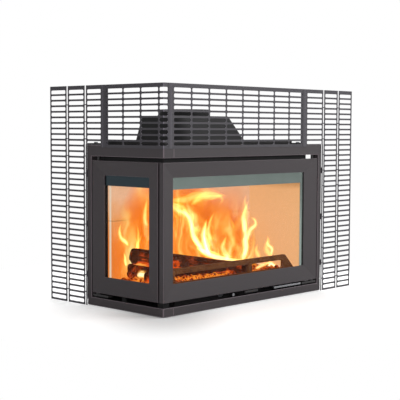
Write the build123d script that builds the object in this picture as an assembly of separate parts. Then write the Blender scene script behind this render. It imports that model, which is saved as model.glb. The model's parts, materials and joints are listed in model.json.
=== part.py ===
from build123d import *
import os

# Corner fireplace insert: cast firebox with a glass door to the front and one to the left,
# an L-shaped surround, and slotted convection sheets that stand on and beside it.
# Millimetres, +Z up. While modelling, the origin is the outer near corner of the sheets at floor
# level, +X runs along the front and +Y to the back. save() moves it to the middle of the floor box.

os.makedirs("parts", exist_ok=True)

# Overall layout, read from the photograph
height = 697.0            # top edge of the slotted sheets
surround_top = 510.0      # top of the surround's upper rail
surround_bottom = 2.0
surround_width = 766.5    # along the front
surround_depth = 343.0    # along the left side
top_rail = 35.0           # height of the upper rail
bottom_rail = 26.0
stile = 18.0              # width of the two uprights
rail_return = 12.0        # how far the rails' flanges go back
stile_return = 27.0
casting_wall = 3.0
surround_seam = 43.0      # the left casting wraps this far round the corner
corner_radius = 4.0

# Surround brackets, folded from strip
strip_width = 32.0
strip_wall = 2.0
top_strip_play = 2.0      # under the upper rail's flange
top_strip_height = 24.0
low_strip_foot = 22.0     # length that lies on the base plate
front_strip_inset = 118.0  # outer brackets from the firebox's ends
side_strip_inset = 60.0

# Slotted sheets
skin = 1.5                # sheet thickness
slot_pitch = 18.0
slot_height = 13.0
least_slot = 3.0          # a cut-off row lower than this is left out
column_pitch = 78.0
column_bar = 5.0
top_band = 12.0
foot_band = 6.0
grille_lap = 7.0          # the sheets above the surround reach down over its rail
grille_sill = 9.0         # solid band at that lower edge
corner_slot = 19.5        # the corner slots run this far round each side
side_bar_start = 22.5     # first upright bar of the left sheet
sheet_play = 0.25         # half the gap where two sheets meet
joint_land = 6.0          # sheet left beside a joint
joint_right_shift = -2.0  # joints from the last upright bar
joint_left_shift = 7.0
corner_joint_inset = 12.6
edge_rail = 5.0           # upright edge of every strip
snap_gap = 7.0            # gap between two snap-off strips
snap_tab = 3.0            # height of the tabs that bridge it
snap_tab_drop = 1.0       # tab's lower edge below its slot row
snap_rows = 3             # slot rows between two tabs
strip_right = 77.25
strip_left = 82.5

# Cover posts, the angles behind them and the wing clips
post_width = 24.0
corner_post_width = 18.0
corner_post_shift = 0.5
post_right_shift = -5.0   # posts from the last upright bar
post_left_shift = -0.5
post_crease = 0.8         # height of the fold down the middle of each post
bracket_width = 32.0
bracket_shift = 7.0       # bracket beyond its post
bracket_top_gap = 6.0
corner_bracket_shift = 1.0
nut_radius = 3.5
nut_height = 2.5
nut_inset = 4.5
nut_low_gap = 8.0         # lowest nut above the surround
wing_clip_reach = 14.0
wing_clip_height = 20.0
wing_clip_first = 88.0    # lowest wing clip above the surround's foot
wing_clip_pitch = 160.0

# Doors
door_gap = 5.0            # to the stiles
door_top_gap = 13.5
door_bottom_gap = 16.0
door_depth = 17.0
meeting_gap = 8.0         # between the two doors at the corner
bevel_depth = 6.0
bevel_rim = 3.0
sash_top = 45.5           # visible widths of the front door's frame
sash_bottom = 52.0
sash_left = 46.0
sash_right = 64.5
side_sash_front = 43.0    # and of the side door's frame
side_sash_rear = 50.0
lip = 4.0                 # casting left behind the bevel
glass_lap = 7.0
glass_play = 0.5
glass_thickness = 4.0
glass_seal = 1.0
tape_width = 5.5
groove_width = 5.0
groove_depth = 6.0
rope_play = 0.1
rope_low_inset = 16.0     # rope groove from the door's edges
rope_high_inset = 12.0
rope_start_play = 0.5     # groove from the firebox casting's edge at the corner
rope_end_inset = 8.0      # and from the firebox's far edge
side_rope_start = 3.5
side_rope_end = 1.5
seal_gap = 2.0            # door back to firebox casting
soft_gap = 0.3            # gasket to firebox casting at rest

# Glass clips, catches and handle
clip_width = 18.0
clip_wall = 1.2
clip_inner = 5.0          # reach over the pane
clip_outer = 15.0         # reach over the frame
clip_foot = 3.0
front_clip_inset = 70.0   # outer clips from the window's ends
side_clip_inset = 45.0
catch_radius = 5.0
catch_depth = 8.0
catch_rise = 8.0          # catch above the door's lower edge
front_catch_inset = 47.0
side_catch_inset = 40.0
ball_radius = 3.5
strike_thickness = 1.0
strike_width = 18.0
strike_height = 14.0
strike_hole = 2.0
handle_from_edge = 304.5  # handle's end to the door's right edge
handle_length = 64.0
handle_height = 7.0
handle_width = 9.0
handle_gap = 3.0          # under the door
handle_nose = 4.0
handle_eye = 7.0          # radius round the pivot
handle_washer = 5.0
handle_pin = 3.0
handle_pin_depth = 6.0

# Hinges
hinge_inset = 21.0        # hinge axis from the door's edge
pin_radius = 4.0
pin_depth = 14.0
pin_end_gap = 2.0
pin_play = 0.05
hinge_plate = 6.0
hinge_half = 7.0
hinge_root_low = 37.0     # plate carried under the firebox casting
hinge_root_high = 26.0
hinge_tip = 9.0           # upper plate beyond the pin
hinge_collar = 3.5
hinge_side_play = 1.0     # lower plate within the door's and the casting's edges
hinge_drop = 5.0          # lower plate above the bottom rail
hinge_rise = 5.0          # upper plate above the top rail's lower edge
bearing_gap = 0.2
rail_play = 0.5

# Firebox
frame_wall = 6.0          # opening casting
frame_land = 4.0          # its windows are this much larger than the door openings
plate_wall = 5.0
plate_lap = 2.0           # side burn plate's face, inside the window's right edge
back_lap = 20.0           # back burn plates' face, in front of the side window's rear edge
leaf_reach = 10.0         # side leaf of the opening casting beyond the back burn plates
rear_chamber = 102.0      # free depth of the air chamber behind the hearth
body_left_rear = 35.0     # the rear half stands back from the side door's swing
base_level = 12.0
floor_level = 60.0
top_drop = 1.0            # top plate's underside below the surround's top
top_wall = 6.0
burn_plate = 25.0          # back plates
side_burn_plate = 21.0
burn_floor = 20.0
brick_joint = 0.4         # half the gap between the two floor plates
seam_level = 272.0        # joint between lower and upper back plate
plate_chamfer = 14.0      # upper back plate's free corner
air_hole_radius = 4.0
air_hole_drop = 15.0      # air holes below the joint
air_hole_pitch = 24.0
first_air_hole = 99.0
baffle_rise = 9.0         # baffle above the window
baffle_wall = 22.0
baffle_chamfer = 8.0
baffle_throat = 75.0      # free width in front of the baffle
lug_reach = 14.0          # lugs that carry the baffle
lug_width = 30.0
lug_height = 5.0
lug_pitch = 80.0
chamber_wall = 3.0
duct_height = 30.0
duct_depth = 16.0
duct_wall = 2.0
duct_slit = 3.0           # gap that lets air fall down the glass
corner_leg = 24.0         # legs of the opening casting on the base plate
small_leg = 18.0
right_leg_inset = 44.0    # legs from the casting's ends
rear_leg_inset = 82.0
rib_levels = (230.0, 360.0)
rib_inset = 40.0
rib_wall = 4.0
rib_height = 8.0

# Smoke outlet
dome_width = 302.0
dome_length = 260.0
dome_height = 89.0
dome_back_inset = 15.0    # dome's back to the firebox's back
crown_width = 250.0
crown_length = 188.0
crown_back_inset = 10.0
dome_radius = 34.0
crown_radius = 26.0
crown_edge = 7.0
dome_wall = 5.0
dome_flange = 14.0
dome_rim = 5.0            # thickness of that flange
dome_mouth = 12.0         # opening in the top plate, inside the dome
flue_radius = 75.0
collar_wall = 10.0
collar_height = 22.0
collar_chamfer = 2.0
collar_inset = 6.0        # collar to the crown's back edge
pipe_seat = 4.0           # ledge in the collar that the flue pipe stands on
bolt_height = 4.0
rim_bolt = 5.5
rim_bolt_inset = 26.0
plate_bolt = 6.5
plate_bolt_inset = 20.0
leaf_bolt_inset = 30.0

# Log guard
guard_end_gap = 12.0      # to the hearth's sides
guard_top = 137.0
guard_bar = 17.5
guard_sill = 8.0
guard_leg = 26.0
guard_round = 12.0
guard_thickness = 10.0
guard_front = 37.0
guard_slope_left = 40.0   # run of its sloping ends
guard_slope_right = 76.0
guard_post_inset = 233.0  # post from the right end
guard_post = 18.0

# Air supply and controls
box_inset_left = 88.0
box_inset_right = 106.0
box_front = 62.0
box_wall = 2.0
spigot_radius = 50.0
spigot_length = 60.0
spigot_flange = 12.0
spigot_flange_wall = 3.0
spigot_rise = 25.0        # spigot above the base plate
port_count = 4
last_port_inset = 30.0
port_low_rise = 9.0
port_high_drop = 12.0
shutter_wall = 2.0
shutter_land = 18.0       # shutter beyond its first port
shutter_end = 22.0
shutter_low_rise = 4.0
shutter_high_drop = 7.0
rail_reach = 5.0          # shutter rails in front of the air box
rail_lap = 3.0
bar_inset = 42.0          # air bar's end from the firebox's right side
bar_length = 142.0
bar_height = 6.0
bar_level = 33.0
bar_front = 6.0
bar_depth = 9.0
bar_edge = 1.5
arm_width = 14.0
arm_wall = 3.0
arm_foot_wall = 2.0
air_travel = 20.0
start_inset = 207.0       # start-air valve from the air box's left side
start_hole = 11.0
start_disc = 14.0
start_rod = 2.0
knob_radius = 4.8
knob_length = 10.0
knob_front = 4.0

# Rear heat shield
shield_gap = 16.0
shield_inset = 25.0
shield_low_rise = 24.0    # above the spigot
shield_top_drop = 12.0
shield_slots = 9
shield_slot = 48.0
shield_slot_height = 8.0
shield_slot_pitch = 65.0
shield_slot_start = 75.0
shield_slot_inset = 26.0  # slot rows from the shield's edges
spacer_radius = 6.0
spacer_inset = 40.0
spacer_low_rise = 16.0
spacer_top_drop = 14.0

# Levelling feet
foot_radius = 16.0
foot_pad = 6.0
screw_radius = 5.0
screw_top = 44.0
foot_inset = 44.0
boss_wall = 6.0
boss_height = 8.0

over = 1.0                # how far a cut runs past what it cuts

# Derived places
post_face = 0.0
sheet_face = post_face + skin
face = sheet_face + skin                       # outer plane of surround and doors
surround_right = face + surround_width
surround_rear = face + surround_depth
seam_x = face + surround_seam
frame_front = face + door_depth + seal_gap     # outer plane of the opening casting
frame_back = frame_front + frame_wall
stile_inner_x = surround_right - stile
stile_inner_y = surround_rear - stile
rail_top_edge = surround_top - top_rail
grille_foot = surround_top - grille_lap
rail_low_edge = surround_bottom + bottom_rail
door_right = stile_inner_x - door_gap
door_rear = stile_inner_y - door_gap
door_low = rail_low_edge + door_bottom_gap
door_high = rail_top_edge - door_top_gap
door_back = face + door_depth
side_door_front = door_back + meeting_gap
view_left = face + sash_left
view_right = door_right - sash_right
view_low = door_low + sash_bottom
view_high = door_high - sash_top
side_view_front = side_door_front + side_sash_front
side_view_rear = door_rear - side_sash_rear
hearth_right = view_right - plate_lap
hearth_back = side_view_rear - back_lap
right_wall = hearth_right + side_burn_plate
body_right = right_wall + plate_wall
chamber_front = hearth_back + burn_plate
leaf_end = chamber_front + leaf_reach
rear_wall = chamber_front + rear_chamber
body_back = rear_wall + plate_wall
left_rear_inner = body_left_rear + plate_wall
base_top = base_level + plate_wall
brick_low = floor_level + frame_wall
hearth_floor = brick_low + burn_floor
baffle_level = view_high + baffle_rise
duct_low = baffle_level + baffle_wall
duct_high = duct_low + duct_height
chamber_top = duct_high + chamber_wall
top_level = surround_top - top_drop
dome_base = top_level + top_wall
dome_top = dome_base + dome_height
hinge_low = rail_low_edge + hinge_drop
sill_low = hinge_low + hinge_plate
hinge_high = rail_top_edge + hinge_rise
wing_right_end = surround_right + edge_rail + 2 * (snap_gap + strip_right)
wing_left_end = surround_rear + edge_rail + 2 * (snap_gap + strip_left)


def block(x0, x1, y0, y1, z0, z1):
    """Solid box between two corners."""
    centre = Pos((x0 + x1) / 2, (y0 + y1) / 2, (z0 + z1) / 2)
    return centre * Box(x1 - x0, y1 - y0, z1 - z0)


def upright(x, y, z0, z1, radius):
    """Vertical cylinder between two levels."""
    return Pos(x, y, (z0 + z1) / 2) * Cylinder(radius, z1 - z0)


def along_y(x, z, y0, y1, radius):
    """Cylinder along Y between two planes."""
    return Pos(x, (y0 + y1) / 2, z) * Rot(90, 0, 0) * Cylinder(radius, y1 - y0)


def swap(shape):
    """The same shape with X and Y exchanged, which turns a front piece into a side piece."""
    return mirror(shape, about=Plane(origin=(0, 0, 0), z_dir=(1, -1, 0)))


def group(shapes):
    """Separate solids kept in one node."""
    solids = []
    for shape in shapes:
        solids.extend(shape.solids())
    return Compound(solids)


def save(name, shape):
    """Write one node, moved so that the origin is the middle of the floor box."""
    to_middle = Location((-wing_right_end / 2, -wing_left_end / 2, 0))
    solids = [solid.moved(to_middle) for solid in shape.solids()]
    export_step(solids[0] if len(solids) == 1 else Compound(solids), f"parts/{name}.step")


def rect_wire(x0, x1, z0, z1):
    """Rectangle in the front plane, as a closed wire."""
    return Wire.make_polygon([(x0, 0, z0), (x1, 0, z0), (x1, 0, z1), (x0, 0, z1)], close=True)


def ring(x0, x1, z0, z1, width, y0, y1):
    """Rectangular ring in the front plane: outer sides and the width of its legs."""
    outer = block(x0, x1, y0, y1, z0, z1)
    return outer - block(x0 + width, x1 - width, y0 - over, y1 + over, z0 + width, z1 - width)


def near_corner(shape):
    """The upright edge of an L-shaped blank at the near corner."""
    return shape.edges().filter_by(Axis.Z).sort_by(lambda edge: edge.center().X + edge.center().Y)[0]


# Surround: one L-shaped casting in two pieces, with its rails, stiles and their flanges

def surround_casting():
    """Both pieces of the surround in one, before they part at the seam."""
    low, high, wall = surround_bottom, surround_top, casting_wall
    blank = block(face, surround_right, face, surround_rear, low, high)
    blank = fillet(near_corner(blank), corner_radius)
    casting = blank - block(face + wall, surround_right + over, face + wall, surround_rear + over,
                            low - over, high + over)
    casting -= block(face - over, stile_inner_x, face - over, stile_inner_y, rail_low_edge, rail_top_edge)
    root = face + over
    flanges = []
    for level in (low, high - wall):
        flanges.append(block(root, surround_right, root, face + rail_return, level, level + wall))
        flanges.append(block(root, face + rail_return, root, surround_rear, level, level + wall))
    rear = face + stile_return
    flanges.append(block(surround_right - wall, surround_right, root, rear, low, high))
    flanges.append(block(stile_inner_x, stile_inner_x + wall, root, rear, rail_low_edge, rail_top_edge))
    flanges.append(block(root, rear, surround_rear - wall, surround_rear, low, high))
    flanges.append(block(root, rear, stile_inner_y, stile_inner_y + wall, rail_low_edge, rail_top_edge))
    for flange in flanges:
        casting += flange & blank
    return casting


surround = surround_casting()
left_zone = block(0, seam_x, 0, surround_rear + over, 0, height)
save("surround_left", surround & left_zone)
save("surround_front", surround - left_zone)


def surround_bracket(x, z_low, z_high, reach):
    """Folded strip from the back of a rail to the firebox behind it."""
    x0, x1 = x - strip_width / 2, x + strip_width / 2
    back = face + casting_wall
    leg = block(x0, x1, back, back + strip_wall, z_low, z_high)
    return leg + block(x0, x1, back, reach, z_high - strip_wall, z_high)


top_strip_high = surround_top - casting_wall - top_strip_play
top_strip_low = top_strip_high - top_strip_height
low_strip_low = surround_bottom + casting_wall
low_strip_high = base_top + strip_wall
strip_first, strip_last = frame_front + front_strip_inset, body_right - front_strip_inset
strips = []
for x in (strip_first, (strip_first + strip_last) / 2, strip_last):
    strips.append(surround_bracket(x, top_strip_low, top_strip_high, frame_front))
    strips.append(surround_bracket(x, low_strip_low, low_strip_high, frame_back + low_strip_foot))
for y in (frame_front + side_strip_inset, leaf_end - side_strip_inset):
    strips.append(swap(surround_bracket(y, top_strip_low, top_strip_high, frame_front)))
    strips.append(swap(surround_bracket(y, low_strip_low, low_strip_high, frame_back + low_strip_foot)))
save("surround_brackets", group(strips))


# Slotted sheets above the surround

def bars(first, end):
    """Middle lines of the upright bars, from the first to the last that leaves room for a post."""
    count = int((end - first) / column_pitch)
    return [first + i * column_pitch for i in range(count)]


def slot_rows(foot):
    """Lower and upper edge of each slot row from the top down, the lowest cut off at the foot."""
    top = height - top_band
    count = int((top - foot) / slot_pitch) + 1
    edges = [(top - i * slot_pitch - slot_height, top - i * slot_pitch) for i in range(count)]
    return [(max(low, foot), high) for low, high in edges if high - max(low, foot) > least_slot]


def slotted_sheet(outline, slots):
    """Flat sheet with rectangular holes, standing in the plane of the sheets."""
    sheet = Face(Wire.make_polygon(outline, close=True), [rect_wire(*slot) for slot in slots])
    return Pos(0, sheet_face, 0) * Solid.extrude(sheet, Vector(0, skin, 0))


bars_x = bars(corner_slot + side_bar_start, surround_right)
bars_y = bars(side_bar_start, surround_rear)
joint_x = bars_x[-1] + joint_right_shift
joint_y = bars_y[-1] + joint_left_shift
corner_joint = corner_slot + corner_joint_inset
grille_rows = slot_rows(grille_foot + grille_sill)
half_bar = column_bar / 2


def grille_front():
    """Front sheet between the corner joint and the right joint."""
    left, right = corner_joint + sheet_play, joint_x - sheet_play
    outline = [(left, 0, grille_foot), (right, 0, grille_foot), (right, 0, height), (left, 0, height)]
    slots = []
    for start, end in zip(bars_x, bars_x[1:]):
        slot_end = min(end - half_bar, joint_x - joint_land)
        slots += [(start + half_bar, slot_end, low, high) for low, high in grille_rows]
    return slotted_sheet(outline, slots)


def grille_left():
    """Left sheet, bent round the near corner, with slots that run round the bend."""
    reach_x, reach_y = corner_joint - sheet_play, joint_y - sheet_play
    outer = block(sheet_face, reach_x, sheet_face, reach_y, grille_foot, height)
    outer = fillet(near_corner(outer), 2 * skin)
    inner = block(face, reach_x + over, face, reach_y + over, grille_foot - over, height + over)
    inner = fillet(near_corner(inner), skin)
    cuts = []
    for low, high in grille_rows:
        cuts.append(block(post_face, corner_slot, post_face, bars_y[0] - half_bar, low, high))
        for start, end in zip(bars_y, bars_y[1:]):
            slot_end = min(end - half_bar, joint_y - joint_land)
            cuts.append(block(post_face, face + over, start + half_bar, slot_end, low, high))
    return (outer - inner) - cuts


save("grille_front", grille_front())
save("grille_left", grille_left())


# Wings: one upright column above the surround and two snap-off strips beside it

def wing(joint, inner_slot, edge, strip, end):
    """Wing sheet in the front plane: joint is its inner end, edge the surround's side."""
    rail_end = edge + edge_rail
    sill = surround_top + sheet_play
    inner = joint + sheet_play
    outline = [(inner, 0, sill), (edge, 0, sill), (edge, 0, 0), (end, 0, 0), (end, 0, height),
               (inner, 0, height)]
    strips = [rail_end + snap_gap, rail_end + 2 * snap_gap + strip]
    rows = slot_rows(foot_band)
    slots = [(inner_slot, edge, low, high) for low, high in slot_rows(sill + skin)]
    for start in strips:
        slots += [(start + edge_rail, start + strip - edge_rail, low, high) for low, high in rows]
    tabs = [low - snap_tab_drop for low, high in rows][snap_rows - 1::snap_rows]
    bands = [height + over] + tabs + [-snap_tab - over]
    gaps = []
    for upper, lower in zip(bands, bands[1:]):
        for start in strips:
            gaps.append(block(start - snap_gap, start, 0, face + over, lower + snap_tab, upper))
    return slotted_sheet(outline, slots) - gaps


post_right_x = bars_x[-1] + post_right_shift
post_left_y = bars_y[-1] + post_left_shift
save("wing_right", wing(joint_x, post_right_x + post_width, surround_right, strip_right, wing_right_end))
save("wing_left", swap(wing(joint_y, post_left_y + post_width, surround_rear, strip_left, wing_left_end)))


def cover_post(x0, width):
    """Strip over a joint between two sheets, folded slightly outwards down its middle."""
    x1 = x0 + width
    edge = post_face + post_crease
    profile = Polyline((x0, sheet_face), (x0, edge), ((x0 + x1) / 2, post_face), (x1, edge),
                       (x1, sheet_face), close=True)
    return Pos(0, 0, grille_foot) * extrude(make_face(profile), amount=height - grille_foot)


def bracket(x0, width):
    """Angle behind a joint: upright leg on the sheets, foot on the surround's flange."""
    leg = block(x0, x0 + width, face, face + skin, surround_top, height - bracket_top_gap)
    return leg + block(x0, x0 + width, face, face + rail_return, surround_top, surround_top + skin)


def wing_clip(edge, level):
    """Angle on the side of the surround that holds the wing's inner rail."""
    high = level + wing_clip_height
    leg = block(edge, edge + skin, face, face + wing_clip_reach, level, high)
    return leg + block(edge, edge + edge_rail, face, face + skin, level, high)


corner_post_x = corner_slot + corner_post_shift
corner_bracket_x = corner_post_x + corner_bracket_shift
save("grille_post_corner", cover_post(corner_post_x, corner_post_width))
save("grille_post_right", cover_post(post_right_x, post_width))
save("grille_post_left", swap(cover_post(post_left_y, post_width)))
save("grille_brackets", group([bracket(corner_bracket_x, corner_post_width + joint_land),
                               bracket(post_right_x - bracket_shift, bracket_width),
                               swap(bracket(post_left_y - bracket_shift, bracket_width))]))
clip_levels = [surround_bottom + wing_clip_first + i * wing_clip_pitch for i in range(3)]
save("wing_clips", group([wing_clip(surround_right, level) for level in clip_levels]
                         + [swap(wing_clip(surround_rear, level)) for level in clip_levels]))


def hex_head(x, y, z, radius):
    """Hexagon head standing on level z."""
    return Pos(x, y, z) * extrude(RegularPolygon(radius, 6), amount=bolt_height)


def nut(x, z):
    """Hexagon nut on the back of a bracket."""
    prism = extrude(RegularPolygon(nut_radius, 6), amount=nut_height)
    return Pos(x, face + skin, z) * Rot(-90, 0, 0) * prism


nut_top = height - top_band - slot_height / 2
nut_count = int((nut_top - surround_top - nut_low_gap) / (2 * slot_pitch)) + 1
nut_levels = [nut_top - i * 2 * slot_pitch for i in range(nut_count)]
front_nuts = (corner_bracket_x + nut_inset, post_right_x + nut_inset, post_right_x + post_width - nut_inset)
side_nuts = (post_left_y + nut_inset, post_left_y + post_width - nut_inset)
save("grille_nuts", group([nut(x, z) for x in front_nuts for z in nut_levels]
                          + [swap(nut(y, z)) for y in side_nuts for z in nut_levels]))

# Doors. Each is drawn in the front plane, and swap() turns the side door's pieces to the left.

seat_plane = face + bevel_depth + lip
glass_front = seat_plane + glass_seal
glass_back = glass_front + glass_thickness
groove_floor = door_back - groove_depth
pin_y = face + door_depth / 2
catch_level = door_low + catch_rise


class Door:
    """Sizes of one door in its own front plane: its ends, those of its window and of its seal."""

    def __init__(self, ends, view, seal, catch_inset, clip_inset, clips):
        self.start, self.end = ends
        first, last = view
        self.view = (first, last, view_low, view_high)
        self.seal = (*seal, door_low + rope_low_inset, door_high - rope_high_inset)
        self.seat = (first - glass_lap, last + glass_lap, view_low - glass_lap, view_high + glass_lap)
        self.hinge = self.end - hinge_inset
        self.catch = self.start + catch_inset
        pitch = (last - first - 2 * clip_inset) / (clips - 1)
        self.clips = [first + clip_inset + i * pitch for i in range(clips)]


front_seal = (frame_front + rope_start_play, body_right - rope_end_inset)
side_seal = (side_door_front + side_rope_start, leaf_end - side_rope_end)
front_door = Door((face, door_right), (view_left, view_right), front_seal, front_catch_inset,
                  front_clip_inset, 3)
side_door = Door((side_door_front, door_rear), (side_view_front, side_view_rear), side_seal,
                 side_catch_inset, side_clip_inset, 2)


def door_frame(door):
    """Cast frame: face sloping in to the glass, mitred corners, glass seat, seal groove, hinge holes."""
    body = block(door.start, door.end, face, door_back, door_low, door_high)
    outer = rect_wire(door.start + bevel_rim, door.end - bevel_rim, door_low + bevel_rim,
                      door_high - bevel_rim)
    x0, x1, z0, z1 = door.view
    inner = rect_wire(x0, x1, z0, z1)
    body -= Solid.make_loft([outer.moved(Location((0, face, 0))),
                             inner.moved(Location((0, face + bevel_depth, 0)))], ruled=True)
    body -= block(x0, x1, face, door_back + over, z0, z1)
    x0, x1, z0, z1 = door.seat
    body -= block(x0, x1, seat_plane, door_back + over, z0, z1)
    body -= ring(*door.seal, groove_width, groove_floor, door_back + over)
    for low in (door_low - over, door_high - pin_depth):
        body -= upright(door.hinge, pin_y, low, low + pin_depth + over, pin_radius + pin_play)
    body -= along_y(door.catch, catch_level, door_back - catch_depth, door_back + over, catch_radius)
    return body


def door_glass(door):
    """Ceramic glass pane in its seat."""
    x0, x1, z0, z1 = door.seat
    return block(x0 + glass_play, x1 - glass_play, glass_front, glass_back, z0 + glass_play,
                 z1 - glass_play)


def glass_tape(door):
    """Flat seal between the pane and its seat."""
    x0, x1, z0, z1 = door.seat
    return ring(x0 + glass_play, x1 - glass_play, z0 + glass_play, z1 - glass_play, tape_width,
                seat_plane, glass_front)


def door_rope(door):
    """Rope seal in the groove, standing out to just short of the firebox."""
    x0, x1, z0, z1 = door.seal
    return ring(x0 + rope_play, x1 - rope_play, z0 + rope_play, z1 - rope_play,
                groove_width - 2 * rope_play, groove_floor, frame_front - soft_gap)


def glass_clips(door):
    """Spring clips that hold the pane from behind, below it (side -1) and above it (side 1)."""
    clips = []
    for side, edge in ((-1, door.seat[2]), (1, door.seat[3])):
        inner, outer = edge - side * clip_inner, edge + side * clip_outer
        foot = inner + side * clip_foot
        for x in door.clips:
            x0, x1 = x - clip_width / 2, x + clip_width / 2
            leaf = block(x0, x1, door_back, door_back + clip_wall, min(inner, outer), max(inner, outer))
            clips.append(leaf + block(x0, x1, glass_back, door_back, min(inner, foot), max(inner, foot)))
    return group(clips)


def ball_catch(door):
    """Spring ball catch in its barrel, set into the back of the door."""
    barrel = along_y(door.catch, catch_level, door_back - catch_depth, door_back, catch_radius)
    tip = frame_front - strike_thickness - soft_gap
    return barrel + Pos(door.catch, tip - ball_radius, catch_level) * Sphere(ball_radius)


def strike_plate(door):
    """Plate on the firebox that the ball rests against."""
    x, half_width, half_height = door.catch, strike_width / 2, strike_height / 2
    plate = block(x - half_width, x + half_width, frame_front - strike_thickness, frame_front,
                  catch_level - half_height, catch_level + half_height)
    return plate - along_y(x, catch_level, frame_front - over - strike_thickness, frame_front + over,
                           strike_hole)


handle_end = door_right - handle_from_edge
handle_pivot = handle_end - handle_eye
handle_start = handle_end - handle_length
front_frame = door_frame(front_door)
front_frame -= upright(handle_pivot, pin_y, door_low - over, door_low + handle_pin_depth + over,
                       handle_pin + pin_play)
save("front_door_frame", front_frame)
save("side_door_frame", swap(door_frame(side_door)))
for name, piece in (("glass", door_glass), ("glass_seal", glass_tape), ("door_rope", door_rope),
                    ("glass_clips", glass_clips), ("ball_catch", ball_catch)):
    save(f"front_{name}", piece(front_door))
    save(f"side_{name}", swap(piece(side_door)))
save("strike_plates", group([strike_plate(front_door), swap(strike_plate(side_door))]))


def front_handle():
    """Bar tucked under the front door that folds out round an upright pin."""
    high = door_low - handle_gap
    low = high - handle_height
    half = handle_width / 2
    handle = block(handle_start, handle_pivot, pin_y - half, pin_y + half, low, high)
    handle = fillet(handle.edges().filter_by(Axis.Z).group_by(Axis.X)[0], handle_nose)
    handle += upright(handle_pivot, pin_y, low, high, handle_eye)
    handle += upright(handle_pivot, pin_y, high, door_low - bearing_gap, handle_washer)
    return handle + upright(handle_pivot, pin_y, low, door_low + handle_pin_depth, handle_pin)


save("front_handle", front_handle())


# Hinges: plates fixed to the opening casting, each with the pin that the door turns on

def lower_hinge(door, root):
    """Plate under the casting with a pin that carries the door on a collar."""
    plate = block(root - hinge_root_low, door.end - hinge_side_play, pin_y - hinge_half,
                  frame_back - hinge_side_play, hinge_low, sill_low)
    plate += upright(door.hinge, pin_y, hinge_low, door_low + pin_depth - pin_end_gap, pin_radius)
    return plate + upright(door.hinge, pin_y, hinge_low, door_low - bearing_gap, pin_radius + hinge_collar)


def upper_hinge(door, root):
    """Plate over the door with a pin that hangs down into it."""
    high = hinge_high + hinge_plate
    plate = block(root - hinge_root_high, door.hinge + hinge_tip, face + casting_wall + rail_play,
                  frame_front, hinge_high, high)
    return plate + upright(door.hinge, pin_y, door_high - pin_depth + pin_end_gap, high, pin_radius)


save("front_hinge_lower", lower_hinge(front_door, body_right))
save("front_hinge_upper", upper_hinge(front_door, body_right))
save("side_hinge_lower", swap(lower_hinge(side_door, leaf_end)))
save("side_hinge_upper", swap(upper_hinge(side_door, leaf_end)))


# Firebox

def casting_leaf(end, view_start, view_end):
    """One face of the opening casting, with its window and the leg at the near corner."""
    leaf = block(frame_front, end, frame_front, frame_back, sill_low, top_level)
    leaf -= block(view_start - frame_land, view_end + frame_land, frame_front - over, frame_back + over,
                  view_low - frame_land, view_high + frame_land)
    return leaf + block(frame_front, frame_front + corner_leg, frame_front, frame_back, base_top, sill_low)


def small_foot(end):
    """Short leg of a leaf that ends at a given place along it."""
    return block(end - small_leg, end, frame_front, frame_back, base_top, sill_low)


opening_casting = casting_leaf(body_right, view_left, view_right) + small_foot(body_right - right_leg_inset)
opening_casting += swap(casting_leaf(leaf_end, side_view_front, side_view_rear))
opening_casting += swap(small_foot(leaf_end - rear_leg_inset))
opening_casting += block(frame_back, left_rear_inner, leaf_end - frame_wall, leaf_end, sill_low, top_level)
lug_first = frame_back + baffle_throat + lug_width
for y in (lug_first, lug_first + lug_pitch):
    opening_casting += block(frame_back, frame_back + lug_reach, y, y + lug_width,
                             baffle_level - lug_height, baffle_level)
save("opening_casting", opening_casting)


def stepped_plate(level, wall):
    """Level plate over the whole body, stepped in at the left rear."""
    plate = block(frame_front, body_right, frame_front, body_back, level, level + wall)
    return plate - block(frame_front - over, body_left_rear, leaf_end, body_back + over, level - over,
                         level + wall + over)


feet = {
    "front_left": (frame_front + foot_inset, frame_front + foot_inset),
    "front_right": (body_right - foot_inset, frame_front + foot_inset),
    "rear_left": (body_left_rear + foot_inset, body_back - foot_inset),
    "rear_right": (body_right - foot_inset, body_back - foot_inset),
}
base = stepped_plate(base_level, plate_wall)
for x, y in feet.values():
    base += upright(x, y, base_top, base_top + boss_height, screw_radius + boss_wall)
for x, y in feet.values():
    base -= upright(x, y, base_level - over, base_top + boss_height + over, screw_radius + pin_play)
save("base_plate", base)
for name, (x, y) in feet.items():
    foot = upright(x, y, 0, foot_pad, foot_radius) + upright(x, y, 0, screw_top, screw_radius)
    save(f"foot_{name}", foot)

save("side_plate_right", block(right_wall, body_right, frame_back, body_back, base_top, top_level))
save("side_plate_left", block(body_left_rear, left_rear_inner, leaf_end, body_back, base_top, top_level))
spigot_x = (body_left_rear + body_right) / 2
spigot_z = base_top + spigot_radius + spigot_rise
back_plate = block(left_rear_inner, right_wall, rear_wall, body_back, base_top, top_level)
for level in rib_levels:
    back_plate += block(body_left_rear + rib_inset, body_right - rib_inset, body_back, body_back + rib_wall,
                        level, level + rib_height)
back_plate -= along_y(spigot_x, spigot_z, rear_wall - over, body_back + over, spigot_radius - box_wall)
save("back_plate", back_plate)

floor = block(frame_back, right_wall, frame_back, chamber_front + chamber_wall, floor_level, brick_low)
floor -= block(frame_back - over, left_rear_inner, chamber_front, body_back, floor_level - over,
               brick_low + over)
save("firebox_floor", floor)
brick_split = (frame_back + hearth_right) / 2
save("floor_burn_plates", group([
    block(frame_back, brick_split - brick_joint, frame_back, hearth_back, brick_low, hearth_floor),
    block(brick_split + brick_joint, hearth_right, frame_back, hearth_back, brick_low, hearth_floor)]))


# Rear air chamber and the burn plates in front of it, with one row of air holes through both

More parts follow.
